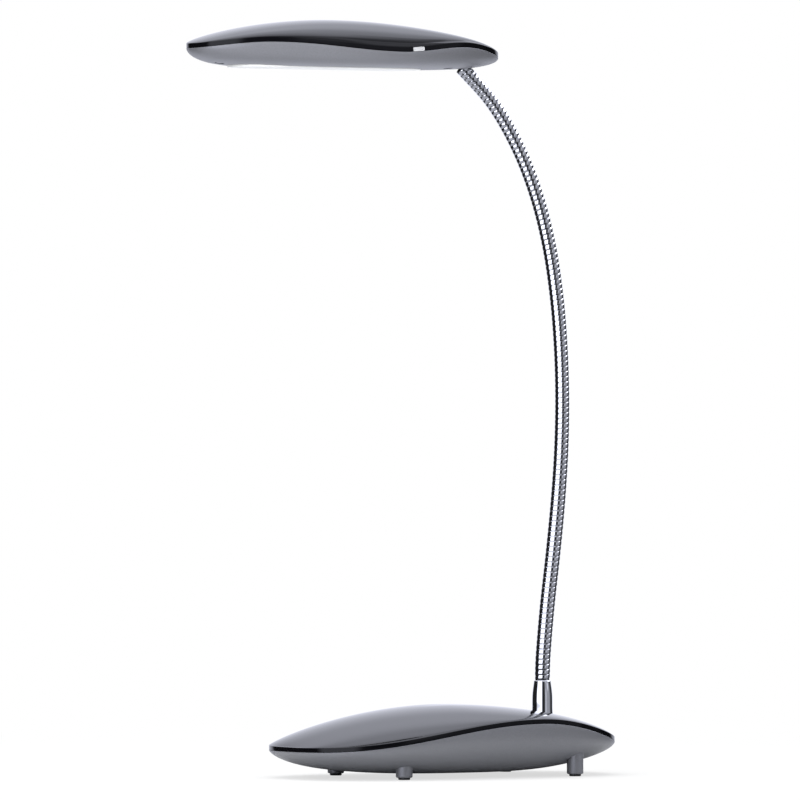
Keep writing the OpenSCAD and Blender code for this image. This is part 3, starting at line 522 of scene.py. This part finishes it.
def shellRing(form, rho, inset, height):
    # one ring of the outline drawn in by inset; height gives Z from its X and Y
    n = form["square"]
    t = 2 * np.pi * np.arange(shellPlan["around"]) / shellPlan["around"]
    r = rho * (np.abs(np.cos(t)) ** n + np.abs(np.sin(t)) ** n) ** (-1 / n)
    x, y = (form["a"] - inset) * r * np.cos(t), (form["b"] - inset) * r * np.sin(t)
    return np.stack([x, y, height(x, y)], 1)


def shellObject(name, outer, inner, place, materials, bandRows, up):
    # outer and inner are stacks of rings from the open edge inwards, and each stack closes on one point
    n = shellPlan["around"]
    inside = len(materials) - 1
    firstInner = len(outer) * n + 1
    stacks = [rings + [rings[-1].mean(axis=0)[None]] for rings in (outer, inner)]
    points = np.concatenate(stacks[0] + stacks[1]) + np.array(place)
    faces, slots = [], []
    for first, rings, flip in ((0, outer, False), (firstInner, inner, True)):
        faces += gridFaces(len(rings), n, first, flip)
        for i in range(len(rings) - 1):
            slots += [inside if flip else int(i < bandRows)] * n
        last = first + (len(rings) - 1) * n
        for k in range(n):
            q = (k + 1) % n
            faces.append((last + q, last + k, last + n) if flip else (last + k, last + q, last + n))
            slots.append(inside if flip else 0)
    for k in range(n):
        q = (k + 1) % n
        faces.append((q, k, firstInner + k, firstInner + q))
        slots.append(inside)
    if not up:
        faces = [f[::-1] for f in faces]
    return makeObject(name, points, faces, materials, slots)


def coverPiece(name, form, rim, crown, place):
    wall, half, bevel = form["wall"], form["band"] / 2, shellPlan["coverRound"]
    corner = bevel * shellPlan["cornerShare"]
    # the band as (in from the outline, up from the parting line)
    edge = [(bevel, -half), (corner, corner - half), (0, bevel - half), (0, half - shellPlan["bandEnd"]),
            (0, half)]
    outer = [shellRing(form, 1, inset, lambda x, y: rim(x) + rise) for inset, rise in edge]
    inner = [shellRing(form, 1, wall, lambda x, y: rim(x) + rise) for rise in (-half, half)]
    for rings, count, inset in ((outer, "outerRings", 0), (inner, "innerRings", wall)):
        for rho in ringShares(shellPlan[count])[1:]:
            rings.append(shellRing(form, rho, inset, lambda x, y: domeHeight(form, rim, crown, x, y, inset)))
    materials = [finish["coverGloss"], finish["bandGloss"], finish["mouldedBlack"]]
    return shellObject(name, outer, inner, place, materials, len(edge) - 1, True)


def housingPiece(name, form, rim, place):
    wall, bevel = form["wall"], shellPlan["housingRound"]
    corner = bevel * shellPlan["cornerShare"]
    outer = [shellRing(form, 1, inset, lambda x, y: bowlHeight(form, rim, x, 1, 0) - drop)
             for inset, drop in ((bevel, 0), (corner, corner), (0, bevel))]
    roof = outer[-1][:, 2] - shellPlan["underEdge"]      # the side stays below the rounded edge
    for rho in ringShares(shellPlan["outerRings"])[1:]:
        outer.append(shellRing(form, rho, 0, lambda x, y: np.minimum(bowlHeight(form, rim, x, rho, 0), roof)))
    inner = [shellRing(form, rho, wall, lambda x, y: bowlHeight(form, rim, x, rho, wall))
             for rho in ringShares(shellPlan["innerRings"])]
    materials = [finish["silverPaint"], finish["mouldedBlack"]]
    return shellObject(name, outer, inner, place, materials, 0, False)


baseDetail = {
    "neckX": 64.5, "shankR": 4.95, "shankFrom": 10.0, "seatR": 6.05, "seatReach": 6.0, "seatSink": 0.1,
    "feet": [(-46.5, -38), (-46.5, 38), (63, -38), (63, 38)], "footHoleR": 4.7, "footHoleTop": 12.0,
    "posts": [(-50, -18), (-50, 18), (40, -19), (40, 19)], "headR": 3.1, "headTop": 5.4,
    "inletX": 30.0, "inletZ": 20.0, "inletR": 7.25, "inletFrom": 49.0, "inletTo": 70.0,
}


def buildBase(form, detail):
    place = (baseX, 0, 0)
    neckAt = (baseX + detail["neckX"], 0, 0)
    seatZ = float(baseCrown(np.array(detail["neckX"] + detail["seatReach"]))) - detail["seatSink"]
    cover = coverPiece("baseCover", form, baseRim, baseCrown, place)
    cutAway(cover, [cylinderCutter(neckAt, detail["seatR"], seatZ, form["top"] + clear),
                    cylinderCutter(neckAt, detail["shankR"], detail["shankFrom"], form["top"] + clear)])
    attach(cover, "base")
    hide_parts("base_top_cover")
    housing = housingPiece("baseHousing", form, baseRim, place)
    cutters = [cylinderCutter((baseX + x, y, 0), detail["footHoleR"], -under, detail["footHoleTop"])
               for x, y in detail["feet"]]
    cutters += [cylinderCutter((baseX + x, y, 0), detail["headR"], -under, detail["headTop"])
                for x, y in detail["posts"]]
    inletAt = (baseX + detail["inletX"], 0, detail["inletZ"])
    cutters.append(cylinderCutter(inletAt, detail["inletR"], detail["inletFrom"], detail["inletTo"],
                                  way=(0, 1, 0)))
    cutAway(housing, cutters)
    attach(housing, "base")
    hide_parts("base_lower_housing")


buildBase(baseForm, baseDetail)
print("stage: base shells")

headDetail = {
    "posts": [(-78, 0), (57, -17), (57, 17)], "headR": 2.7, "headTop": 3.0,
    "clamp": [(70.2, -9.6), (70.2, 9.6)], "clampTop": 1.8,
    "windowX": -12.0, "windowLen": 118.0, "windowW": 34.0,
    "entryX": 77.4, "entryLean": -46.0, "entryR": 4.25, "entryFrom": -8.0, "entryTo": 12.0,
    "buttonX": 24.5, "buttonLen": 7.4, "buttonGap": 0.15, "buttonDeep": 2.4, "buttonOut": 3.0,
}


def stadiumCutter(centre, length, width, low, high, steps=24):
    ring = []
    for side, turn in ((1, 0), (-1, math.pi)):
        for k in range(steps + 1):
            a = math.radians(-90 + 180 * k / steps) + turn
            ring.append((centre[0] + side * (length - width) / 2 + width / 2 * math.cos(a),
                         centre[1] + width / 2 * math.sin(a)))
    return prismCutter([(x, y, centre[2] + z) for z in (low, high) for x, y in ring])


def buttonCutter(form, detail):
    # the button's pocket lies square to the outline and along the parting line
    x, gap = detail["buttonX"], detail["buttonGap"]
    near = np.array([x - 1, x, x + 1])
    w = halfWidth(near, form["a"], form["b"], form["square"])
    z = headRim(near)
    yaw, tilt = math.atan((w[0] - w[2]) / 2), math.atan((z[2] - z[0]) / 2)
    centre = np.array([headX + x, -w[1], headZ + z[1]])
    along = np.array([math.cos(yaw) * math.cos(tilt), math.sin(yaw) * math.cos(tilt), math.sin(tilt)])
    deep = np.array([-math.sin(yaw), math.cos(yaw), 0])
    up = np.cross(along, deep)
    half = detail["buttonLen"] / 2 + gap
    front, back = -detail["buttonOut"], detail["buttonDeep"]
    return prismCutter([centre + along * i + deep * j + up * k
                        for k in (-form["band"] / 2 - under, form["band"] / 2 + gap)
                        for i, j in ((-half, front), (half, front), (half, back), (-half, back))])


def buildHead(form, detail):
    place = (headX, 0, headZ)
    cover = coverPiece("headCover", form, headRim, headCrown, place)
    cutAway(cover, [buttonCutter(form, detail)])
    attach(cover, "head")
    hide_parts("head_top_cover")
    housing = housingPiece("headHousing", form, headRim, place)
    lean = math.radians(detail["entryLean"])
    cutters = [cylinderCutter((headX + x, y, headZ), detail["headR"], -under, top)
               for spots, top in ((detail["posts"], detail["headTop"]), (detail["clamp"], detail["clampTop"]))
               for x, y in spots]
    windowAt = (headX + detail["windowX"], 0, headZ)
    cutters.append(stadiumCutter(windowAt, detail["windowLen"], detail["windowW"], -under, clear))
    entryAt = (headX + detail["entryX"], 0, headZ)
    cutters.append(cylinderCutter(entryAt, detail["entryR"], detail["entryFrom"], detail["entryTo"],
                                  way=(math.sin(lean), 0, math.cos(lean))))
    cutAway(housing, cutters)
    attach(housing, "head")
    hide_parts("head_lower_housing")


buildHead(headForm, headDetail)
print("stage: head shells")

collarPlan = {
    "top": 52.2, "topR": 4.7, "seat": 32.33, "shankR": 4.9, "leadR": 3.0, "boreR": 4.21, "boreLow": 36.2,
    "lip": [(0.12, 0.12), (0.4, 0)],     # (in from the top's edge, down from the top)
    # (radius, height) that the turned side passes through
    "side": [(6.0, 32.33), (5.95, 33.6), (5.9, 34.8), (5.78, 36.6), (5.8, 40.0), (5.72, 44.0), (5.4, 47.2),
             (4.7, 51.9)],
    "steps": 60, "blur": 1.2, "blurSteps": 9, "sides": 96, "sharp": 40,
}


def buildCollar(plan):
    bottom = nodeBox("neck_collar")[0][2]
    radii, heights = zip(*plan["side"])
    profile = [(plan["leadR"], bottom), (plan["shankR"], bottom), (plan["shankR"], plan["seat"])]
    for z in np.linspace(heights[0], heights[-1], plan["steps"]):
        # averaging rounds the corners
        near = np.linspace(z - plan["blur"], z + plan["blur"], plan["blurSteps"])
        profile.append((float(np.interp(near, heights, radii).mean()), float(z)))
    profile += [(plan["topR"] - inset, plan["top"] - drop) for inset, drop in plan["lip"]]
    profile += [(plan["boreR"], plan["top"]), (plan["boreR"], plan["boreLow"]),
                (plan["leadR"], plan["boreLow"])]
    collar = lathe("collarTurned", profile, finish["polishedChrome"], plan["sides"], collarX)
    fixNormals(collar)
    sharpen(collar, plan["sharp"])
    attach(collar, "base")
    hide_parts("neck_collar")


buildCollar(collarPlan)
print("stage: collar")

hosePlan = {
    "pitch": 2.88, "sides": 40, "outer": 4.0, "inner": 3.2, "sharp": 22,
    "rootLean": 2.0, "rootIn": 3.0, "tailLean": -46.0, "tail": 25.2, "tailIn": 4.0, "tailShort": 2.0,
    "rigid": 2.5, "rootRigid": 9.0, "tailRigid": 12.0,      # lengths meant to stay straight beside a bend; the points they give are not used
    # the wire's outside is a flat arch; its flanks drop straight into a narrow groove
    "archR": 4.6, "archHalf": 1.3, "flankHalf": 1.32, "shoulder": 0.05, "grooveDeep": 0.5, "footIn": 0.15,
    "archSteps": 10, "fillerHalf": 0.1, "fillerDeep": 0.55,
    # the winding is a little thicker towards the root: share of the radius at distances along the hose
    "swellAt": (0, 6.2, 9, 90, 180), "swell": (1.045, 1.045, 1.09, 1.08, 1.015),
    "cableR": 0.9, "cableSides": 12, "cableStep": 3.0, "spare": 3.0, "halfStep": 0.4, "perChord": 24,
}
hoseNodes = ["neck_root"] + ["neck_link_%02d" % k for k in range(1, 12)] + ["neck_tail"]
sideways = np.array([0.0, 1.0, 0.0])


def wireSection(plan):
    # the main wire's section as (along the hose, out from its axis), and which of its faces are in the groove
    # and take the painted groove shade
    crest = [(x, plan["outer"] - x * x / (2 * plan["archR"]))
             for x in np.linspace(-plan["archHalf"], plan["archHalf"], plan["archSteps"] + 1)]
    half = plan["flankHalf"]
    right = [(half, crest[-1][1] - plan["shoulder"]), (half, plan["outer"] - plan["grooveDeep"]),
             (half - plan["footIn"], plan["inner"])]
    left = [(-x, z) for x, z in right[::-1]]
    section = crest + right + left
    return section, [k >= plan["archSteps"] for k in range(len(section))]


def fillerSection(plan):
    half, top = plan["fillerHalf"], plan["outer"] - plan["fillerDeep"]
    # the filler wire takes the painted groove shade on all its faces
    return [(-half, top), (half, top), (half, plan["inner"]), (-half, plan["inner"])], [True] * 4


def leanWay(degrees):
    return np.array([math.sin(math.radians(degrees)), 0, math.cos(math.radians(degrees))])


def hoseLine(plan):
    # a smooth centre line through the neck's pivots; returns points, distances and the middles between knots
    first, last = leanWay(plan["rootLean"]), leanWay(plan["tailLean"])
    start = np.array([collarX, 0, collarPlan["top"]])
    knots = np.array([start] + pivots + [pivots[-1] + last * (plan["tail"] + plan["tailIn"])])
    chords = np.diff(knots, axis=0)
    tangents = [first] + [(a + b) / np.linalg.norm(a + b) for a, b in zip(chords[:-1], chords[1:])] + [last]
    # a little spare line at each end gives the ends a direction
    line = [knots[0] - first * (plan["rootIn"] + plan["spare"])]
    middles = []
    for i, chord in enumerate(chords):
        size = np.linalg.norm(chord)
        middles.append(len(line) + plan["perChord"] // 2)
        for t in np.linspace(0, 1, plan["perChord"], endpoint=False):
            place = (2 * t ** 3 - 3 * t ** 2 + 1) * knots[i] + (3 * t ** 2 - 2 * t ** 3) * knots[i + 1]
            bend = (t ** 3 - 2 * t ** 2 + t) * tangents[i] + (t ** 3 - t ** 2) * tangents[i + 1]
            line.append(place + size * bend)
    line = np.array(line + [knots[-1], knots[-1] + last * plan["spare"]])
    dist = np.concatenate([[0], np.cumsum(np.linalg.norm(np.diff(line, axis=0), axis=1))])
    return line, dist, dist[middles]


def hoseFrame(line, dist, s):
    # the centre and the direction across, in the plane of the bend, at distances s
    def spot(s):
        return np.stack([np.interp(s, dist, line[:, i]) for i in range(3)], -1)

    way = spot(s + hosePlan["halfStep"]) - spot(s - hosePlan["halfStep"])
    way /= np.linalg.norm(way, axis=-1, keepdims=True)
    return spot(s), np.stack([way[..., 2], np.zeros_like(way[..., 0]), -way[..., 0]], -1)


def windWire(points, faces, slots, wire, plan, offset, fromS, toS):
    # one wire as (distance, angle, radius), wound round the hose from fromS to toS, with both ends capped
    section, dark = wire
    pitch, first, m = plan["pitch"], len(points), len(section)
    steps = max(2, int(round((toS - fromS) / pitch * plan["sides"])))
    turns = np.arange(steps + 1) / steps * (toS - fromS) / pitch + fromS / pitch
    for turn in turns:
        points += [(turn * pitch + offset + along, 2 * np.pi * turn, out) for along, out in section]
    faces += gridFaces(steps + 1, m, first)
    slots += [int(k) for k in dark] * steps
    faces += [tuple(first + k for k in cap) for cap in ringCaps(steps + 1, m)]
    slots += [1, 1]


def windingPiece(name, plan, line, dist, fromS, toS):
    raw, faces, slots = [], [], []
    windWire(raw, faces, slots, wireSection(plan), plan, 0.0, fromS, toS)
    windWire(raw, faces, slots, fillerSection(plan), plan, plan["pitch"] / 2, fromS, toS)
    along, angle, out = np.array(raw).T
    centre, across = hoseFrame(line, dist, along)
    radius = out * np.interp(along, plan["swellAt"], plan["swell"])
    points = centre + radius[:, None] * (np.cos(angle)[:, None] * across + np.sin(angle)[:, None] * sideways)
    # the second finish is the painted shade in the grooves, also on the end caps
    piece = makeObject(name, points, faces, [finish["polishedChrome"], finish["valleyPaintedShade"]], slots)
    fixNormals(piece)
    sharpen(piece, plan["sharp"])
    return piece


def cablePiece(name, plan, line, dist, fromS, toS):
    rows, sides = max(3, int((toS - fromS) / plan["cableStep"])), plan["cableSides"]
    centre, across = hoseFrame(line, dist, np.linspace(fromS, toS, rows))
    points = [centre[i] + plan["cableR"] * (c * across[i] + s * sideways)
              for i in range(rows) for c, s in circlePoints(sides)]
    cable = makeObject(name, points, gridFaces(rows, sides) + ringCaps(rows, sides), [finish["leadSleeve"]])
    fixNormals(cable)
    return cable


def buildHose(plan):
    # one piece per pivot; each begins and ends midway between pivots, on a whole turn of the winding
    line, dist, middles = hoseLine(plan)
    cuts = [plan["spare"]] + list(middles[1:-1]) + [dist[-1] - plan["spare"] - plan["tailShort"]]
    pitch = plan["pitch"]
    last = len(pivots) - 1
    for k, pivot in enumerate(pivots):
        pivotS = dist[np.argmin(np.linalg.norm(line - pivot, axis=1))]
        fromS = cuts[k] if k == 0 else round(cuts[k] / pitch) * pitch
        toS = cuts[k + 1] if k == last else round(cuts[k + 1] / pitch) * pitch
        # where stretches round this piece's pivot would begin and end, from the rigid lengths; nothing below
        # uses these points
        startS = pivotS - plan["rootRigid"] if k == 0 else cuts[k] + plan["rigid"]
        endS = pivotS + plan["tailRigid"] if k == last else cuts[k + 1] - plan["rigid"]
        start, end = [hoseFrame(line, dist, s)[0] for s in (startS, endS)]
        replaced = [hoseNodes[k]] + ([hoseNodes[k + 1]] if k == last else [])
        piece = windingPiece("hoseWinding%02d" % (k + 1), plan, line, dist, fromS, toS)
        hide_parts(*replaced)
        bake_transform(piece)
        cable = cablePiece("neckCable%02d" % (k + 1), plan, line, dist, fromS, toS)
        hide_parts("neck_cable")
        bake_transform(cable)


buildHose(hosePlan)
print("stage: wound hose")

# the nodes that keep their own shape, by finish
nodeFinishes = {
    "silverPaint": ["foot_posts"],
    "padRubber": ["foot_pads"],
    "castIron": ["ballast", "driver_choke", "ferrule_clamp"],
    "plainSteel": ["foot_screws", "base_screws", "collar_washer", "collar_locknut", "board_spacers",
                   "driver_screws", "light_screws", "head_screws", "head_ferrule", "clamp_screws"],
    "bandGloss": ["inlet_bezel"],
    "mouldedBlack": ["dc_jack", "driver_chips", "switch_body"],
    "polishedChrome": ["jack_pin"],
    "greenMask": ["driver_board", "switch_board"],
    "canSleeve": ["driver_capacitor"],
    "leadSleeve": ["jack_lead", "base_lead", "switch_lead", "head_lead"],
    "opalPlastic": ["diffuser"],
    "whiteMask": ["light_frame", "led_board"],
    "phosphor": ["led_chips"],
    "sinkAluminium": ["heat_sink"],
    "buttonPaint": ["switch_button"],
}


def dressNode(obj, material):
    if not obj.material_slots:
        obj.data.materials.append(None)
    for entry in obj.material_slots:
        entry.link = "OBJECT"
        entry.material = material


for finishName, names in nodeFinishes.items():
    for name in names:
        dressNode(frame["nodes"][name], finish[finishName])
print("stage: carried-over nodes dressed")

studio = {
    "floorR": 1.6, "floorSides": 128, "floorColor": (0.93, 0.935, 0.94), "fadeFrom": 0.3, "fadeTo": 0.7,
    "shadowShare": 0.34, "mirrorFrom": 1.15, "mirrorTo": 1.4,
    "plainLevel": 0.62, "room": 0.018, "tint": (0.885, 0.907, 1.03),
}
# what polished surfaces mirror, in degrees round from the camera and up from the horizon:
# (middle, half width, softness); a later panel covers an earlier one
panels = {
    "rightWall": {"round": (62, 31, 5), "up": (0, 27, 3), "level": 0.34},
    "rightWallMiddle": {"round": (62, 31, 5), "up": (0, 12, 6), "level": 0.38},
    "rightStrip": {"round": (41, 8, 4), "up": (0, 12, 5), "level": 0.62},
    "rightFar": {"round": (103, 11, 3), "up": (0, 27, 3), "level": 0.09},
    "rightWallHigh": {"round": (50, 75, 20), "up": (46.5, 16.5, 0.9), "level": 0.85},
    "leftHigh": {"round": (-80, 75, 20), "up": (45, 18, 3), "level": 1.0},
    "cameraFront": {"round": (15, 15, 6), "up": (0, 27, 3), "level": 0.2},
    "leftSoftbox": {"round": (-34, 28, 8), "up": (-5.5, 32.5, 4), "level": 2.2},
    "leftSoftboxHigh": {"round": (-45, 32, 6), "up": (38, 11, 3), "level": 1.3},
    "backSweep": {"round": (180, 36, 6), "up": (0, 60, 20), "level": 1.08},
    "backHigh": {"round": (180, 70, 20), "up": (50, 16, 10), "level": 1.75},
    "rightInner": {"round": (68, 10, 4), "up": (20, 10, 3), "level": 0.85},
    "rimStrip": {"round": (114, 32, 5), "up": (28.5, 13, 2), "level": 3.8},
    "eyeHigh": {"round": (105, 24, 4), "up": (56, 4.7, 0.8), "level": 0.38},
    "eyeLow": {"round": (82, 10, 4), "up": (49, 8.5, 1), "level": 0.42},
    "cameraDark": {"round": (15, 12, 6), "up": (0, 18, 4), "level": 0.02},
    "paper": {"round": (0, 181, 1), "up": (-90, 48, 8), "level": 0.5},
    "roof": {"round": (0, 181, 1), "up": (90, 33, 8), "level": 2.35},
}
lamps = {
    "overhead": {"at": (-0.15, 0.05, 1.5), "aim": (0, 0, 0.15), "size": 1.6, "power": 15.0},
    "frontLeft": {"at": (-1.3, -0.75, 0.75), "aim": (0, 0, 0.2), "size": 0.9, "power": 6.0},
    "headSide": {"at": (-0.105, -0.8, 0.44), "aim": (-0.095, 0, 0.4), "size": 0.12, "power": 16.0,
                 "cone": 14.6, "blend": 0.25},
}


def rampUp(tree, value, low, high, start=0.0):
    # a smooth rise from start to 1 as value goes from low to high
    return addNode(tree, "ShaderNodeMapRange", {
        "Value": value, "From Min": low, "From Max": high, "To Min": start},
        interpolation_type="SMOOTHSTEP").outputs["Result"]


def mixShaders(tree, factor, first, second):
    return addNode(tree, "ShaderNodeMixShader", {0: factor, 1: first, 2: second}).outputs[0]


def vectorLength(tree, vector):
    return addNode(tree, "ShaderNodeVectorMath", {0: vector}, operation="LENGTH").outputs["Value"]


def seenDirectly(tree, rays):
    return addMath(tree, "MAXIMUM", rays["Is Camera Ray"], rays["Is Transmission Ray"])


def buildFloor(plan):
    bpy.ops.mesh.primitive_circle_add(vertices=plan["floorSides"], radius=plan["floorR"], fill_type="NGON",
                                      location=(baseX * mm, 0, 0))
    floor = bpy.context.object
    floor.name = "floor"
    material = bpy.data.materials.new("floorPaper")
    tree = emptyTree(material)
    out = tree.nodes.new("ShaderNodeOutputMaterial")
    place = addNode(tree, "ShaderNodeTexCoord").outputs["Object"]
    rays = addNode(tree, "ShaderNodeLightPath").outputs
    paper = addNode(tree, "ShaderNodeBsdfDiffuse", {"Color": opaque(plan["floorColor"])}).outputs[0]
    glow = addNode(tree, "ShaderNodeEmission", {"Color": (1, 1, 1, 1), "Strength": 1.0}).outputs[0]
    # the camera sees part white and part lit paper, so that a faint shadow stays, and plain white far out
    fade = rampUp(tree, vectorLength(tree, place), plan["fadeFrom"], plan["fadeTo"], 1 - plan["shadowShare"])
    lit = mixShaders(tree, addMath(tree, "MULTIPLY", seenDirectly(tree, rays), fade), paper, glow)
    # polished surfaces mirror only the paper close to the base; further out they mirror the "paper" panel
    shares = (1 / mm / baseForm["a"], 1 / mm / baseForm["b"], 0)
    scaled = addNode(tree, "ShaderNodeVectorMath", {0: place, 1: shares}, operation="MULTIPLY").outputs[0]
    beyond = rampUp(tree, vectorLength(tree, scaled), plan["mirrorFrom"], plan["mirrorTo"])
    clearShader = addNode(tree, "ShaderNodeBsdfTransparent").outputs[0]
    last = mixShaders(tree, addMath(tree, "MULTIPLY", rays["Is Glossy Ray"], beyond), lit, clearShader)
    tree.links.new(last, out.inputs["Surface"])
    floor.data.materials.append(material)


def makePanelGroup():
    # 1 inside a soft-edged rectangle of directions, 0 outside
    group, given, made = newGroup("softPanel", {
        "Round": 0.0, "Up": 0.0, "Middle": 0.0, "Width": 10.0, "Side Edge": 5.0,
        "Height": 0.0, "Half": 10.0, "Top Edge": 5.0}, {"Mask": "Float"})
    halfTurn = 180.0

    def share(distance, half, edge):
        inner = addMath(group, "SUBTRACT", half, edge)
        outer = addMath(group, "ADD", half, edge)
        return rampUp(group, distance, outer, inner)

    shifted = addMath(group, "ADD", addMath(group, "SUBTRACT", given["Round"], given["Middle"]), 3 * halfTurn)
    centred = addMath(group, "SUBTRACT", addMath(group, "FLOORED_MODULO", shifted, 2 * halfTurn), halfTurn)
    aside = addMath(group, "ABSOLUTE", centred)
    above = addMath(group, "ABSOLUTE", addMath(group, "SUBTRACT", given["Up"], given["Height"]))
    mask = addMath(group, "MULTIPLY", share(aside, given["Width"], given["Side Edge"]),
                   share(above, given["Half"], given["Top Edge"]))
    group.links.new(mask, made["Mask"])
    return group


def buildWorld(plan, panelTable):
    world = bpy.data.worlds.new("studio")
    bpy.context.scene.world = world
    tree = emptyTree(world)
    out = tree.nodes.new("ShaderNodeOutputWorld")
    place = addNode(tree, "ShaderNodeTexCoord").outputs["Generated"]
    way = addNode(tree, "ShaderNodeVectorMath", {0: place}, operation="NORMALIZE").outputs[0]
    near, right = [addNode(tree, "ShaderNodeVectorMath", {0: way, 1: tuple(axis)},
                           operation="DOT_PRODUCT").outputs["Value"] for axis in (cameraWay, cameraRight)]
    turned = addMath(tree, "DEGREES", addMath(tree, "ARCTAN2", right, near))
    height = addNode(tree, "ShaderNodeSeparateXYZ", {0: way}).outputs["Z"]
    up = addMath(tree, "DEGREES", addMath(tree, "ARCSINE", height))
    panelGroup = makePanelGroup()
    level = plan["room"]
    edges = ("Middle", "Width", "Side Edge", "Height", "Half", "Top Edge")
    for name, panel in panelTable.items():
        values = {edge: float(value) for edge, value in zip(edges, panel["round"] + panel["up"])}
        mask = addGroup(tree, panelGroup, {"Round": turned, "Up": up, **values})
        mask.label = name
        level = addNode(tree, "ShaderNodeMix", {
            "Factor": mask.outputs["Mask"], "A": level, "B": panel["level"]},
            data_type="FLOAT", clamp_factor=True).outputs["Result"]

    def background(color, strength):
        inputs = {"Color": opaque(color), "Strength": strength}
        return addNode(tree, "ShaderNodeBackground", inputs).outputs[0]

    mirrored = background(plan["tint"], level)
    plain = background((1, 1, 1), plan["plainLevel"])
    white = background((1, 1, 1), 1.0)
    rays = addNode(tree, "ShaderNodeLightPath").outputs
    shiny = mixShaders(tree, rays["Is Glossy Ray"], plain, mirrored)
    tree.links.new(mixShaders(tree, seenDirectly(tree, rays), shiny, white), out.inputs["Surface"])


def buildLamps(table):
    for name, plan in table.items():
        data = bpy.data.lights.new(name, "SPOT" if "cone" in plan else "AREA")
        if "cone" in plan:
            data.shadow_soft_size = plan["size"] / 2
            data.spot_size = math.radians(plan["cone"])
            data.spot_blend = plan["blend"]
        else:
            data.shape = "DISK"
            data.size = plan["size"]
        data.energy = plan["power"]
        lamp = bpy.data.objects.new(name, data)
        lamp.location = plan["at"]
        lamp.rotation_euler = (Vector(plan["aim"]) - Vector(plan["at"])).to_track_quat("-Z", "Y").to_euler()
        lamp.visible_glossy = False      # reflections come from the world, so that no lamp shows twice
        lamp.visible_camera = False
        bpy.context.scene.collection.objects.link(lamp)


buildFloor(studio)
buildWorld(studio, panels)
buildLamps(lamps)
bpy.context.scene.view_settings.view_transform = "Standard"
print("stage: floor, world and lamps")
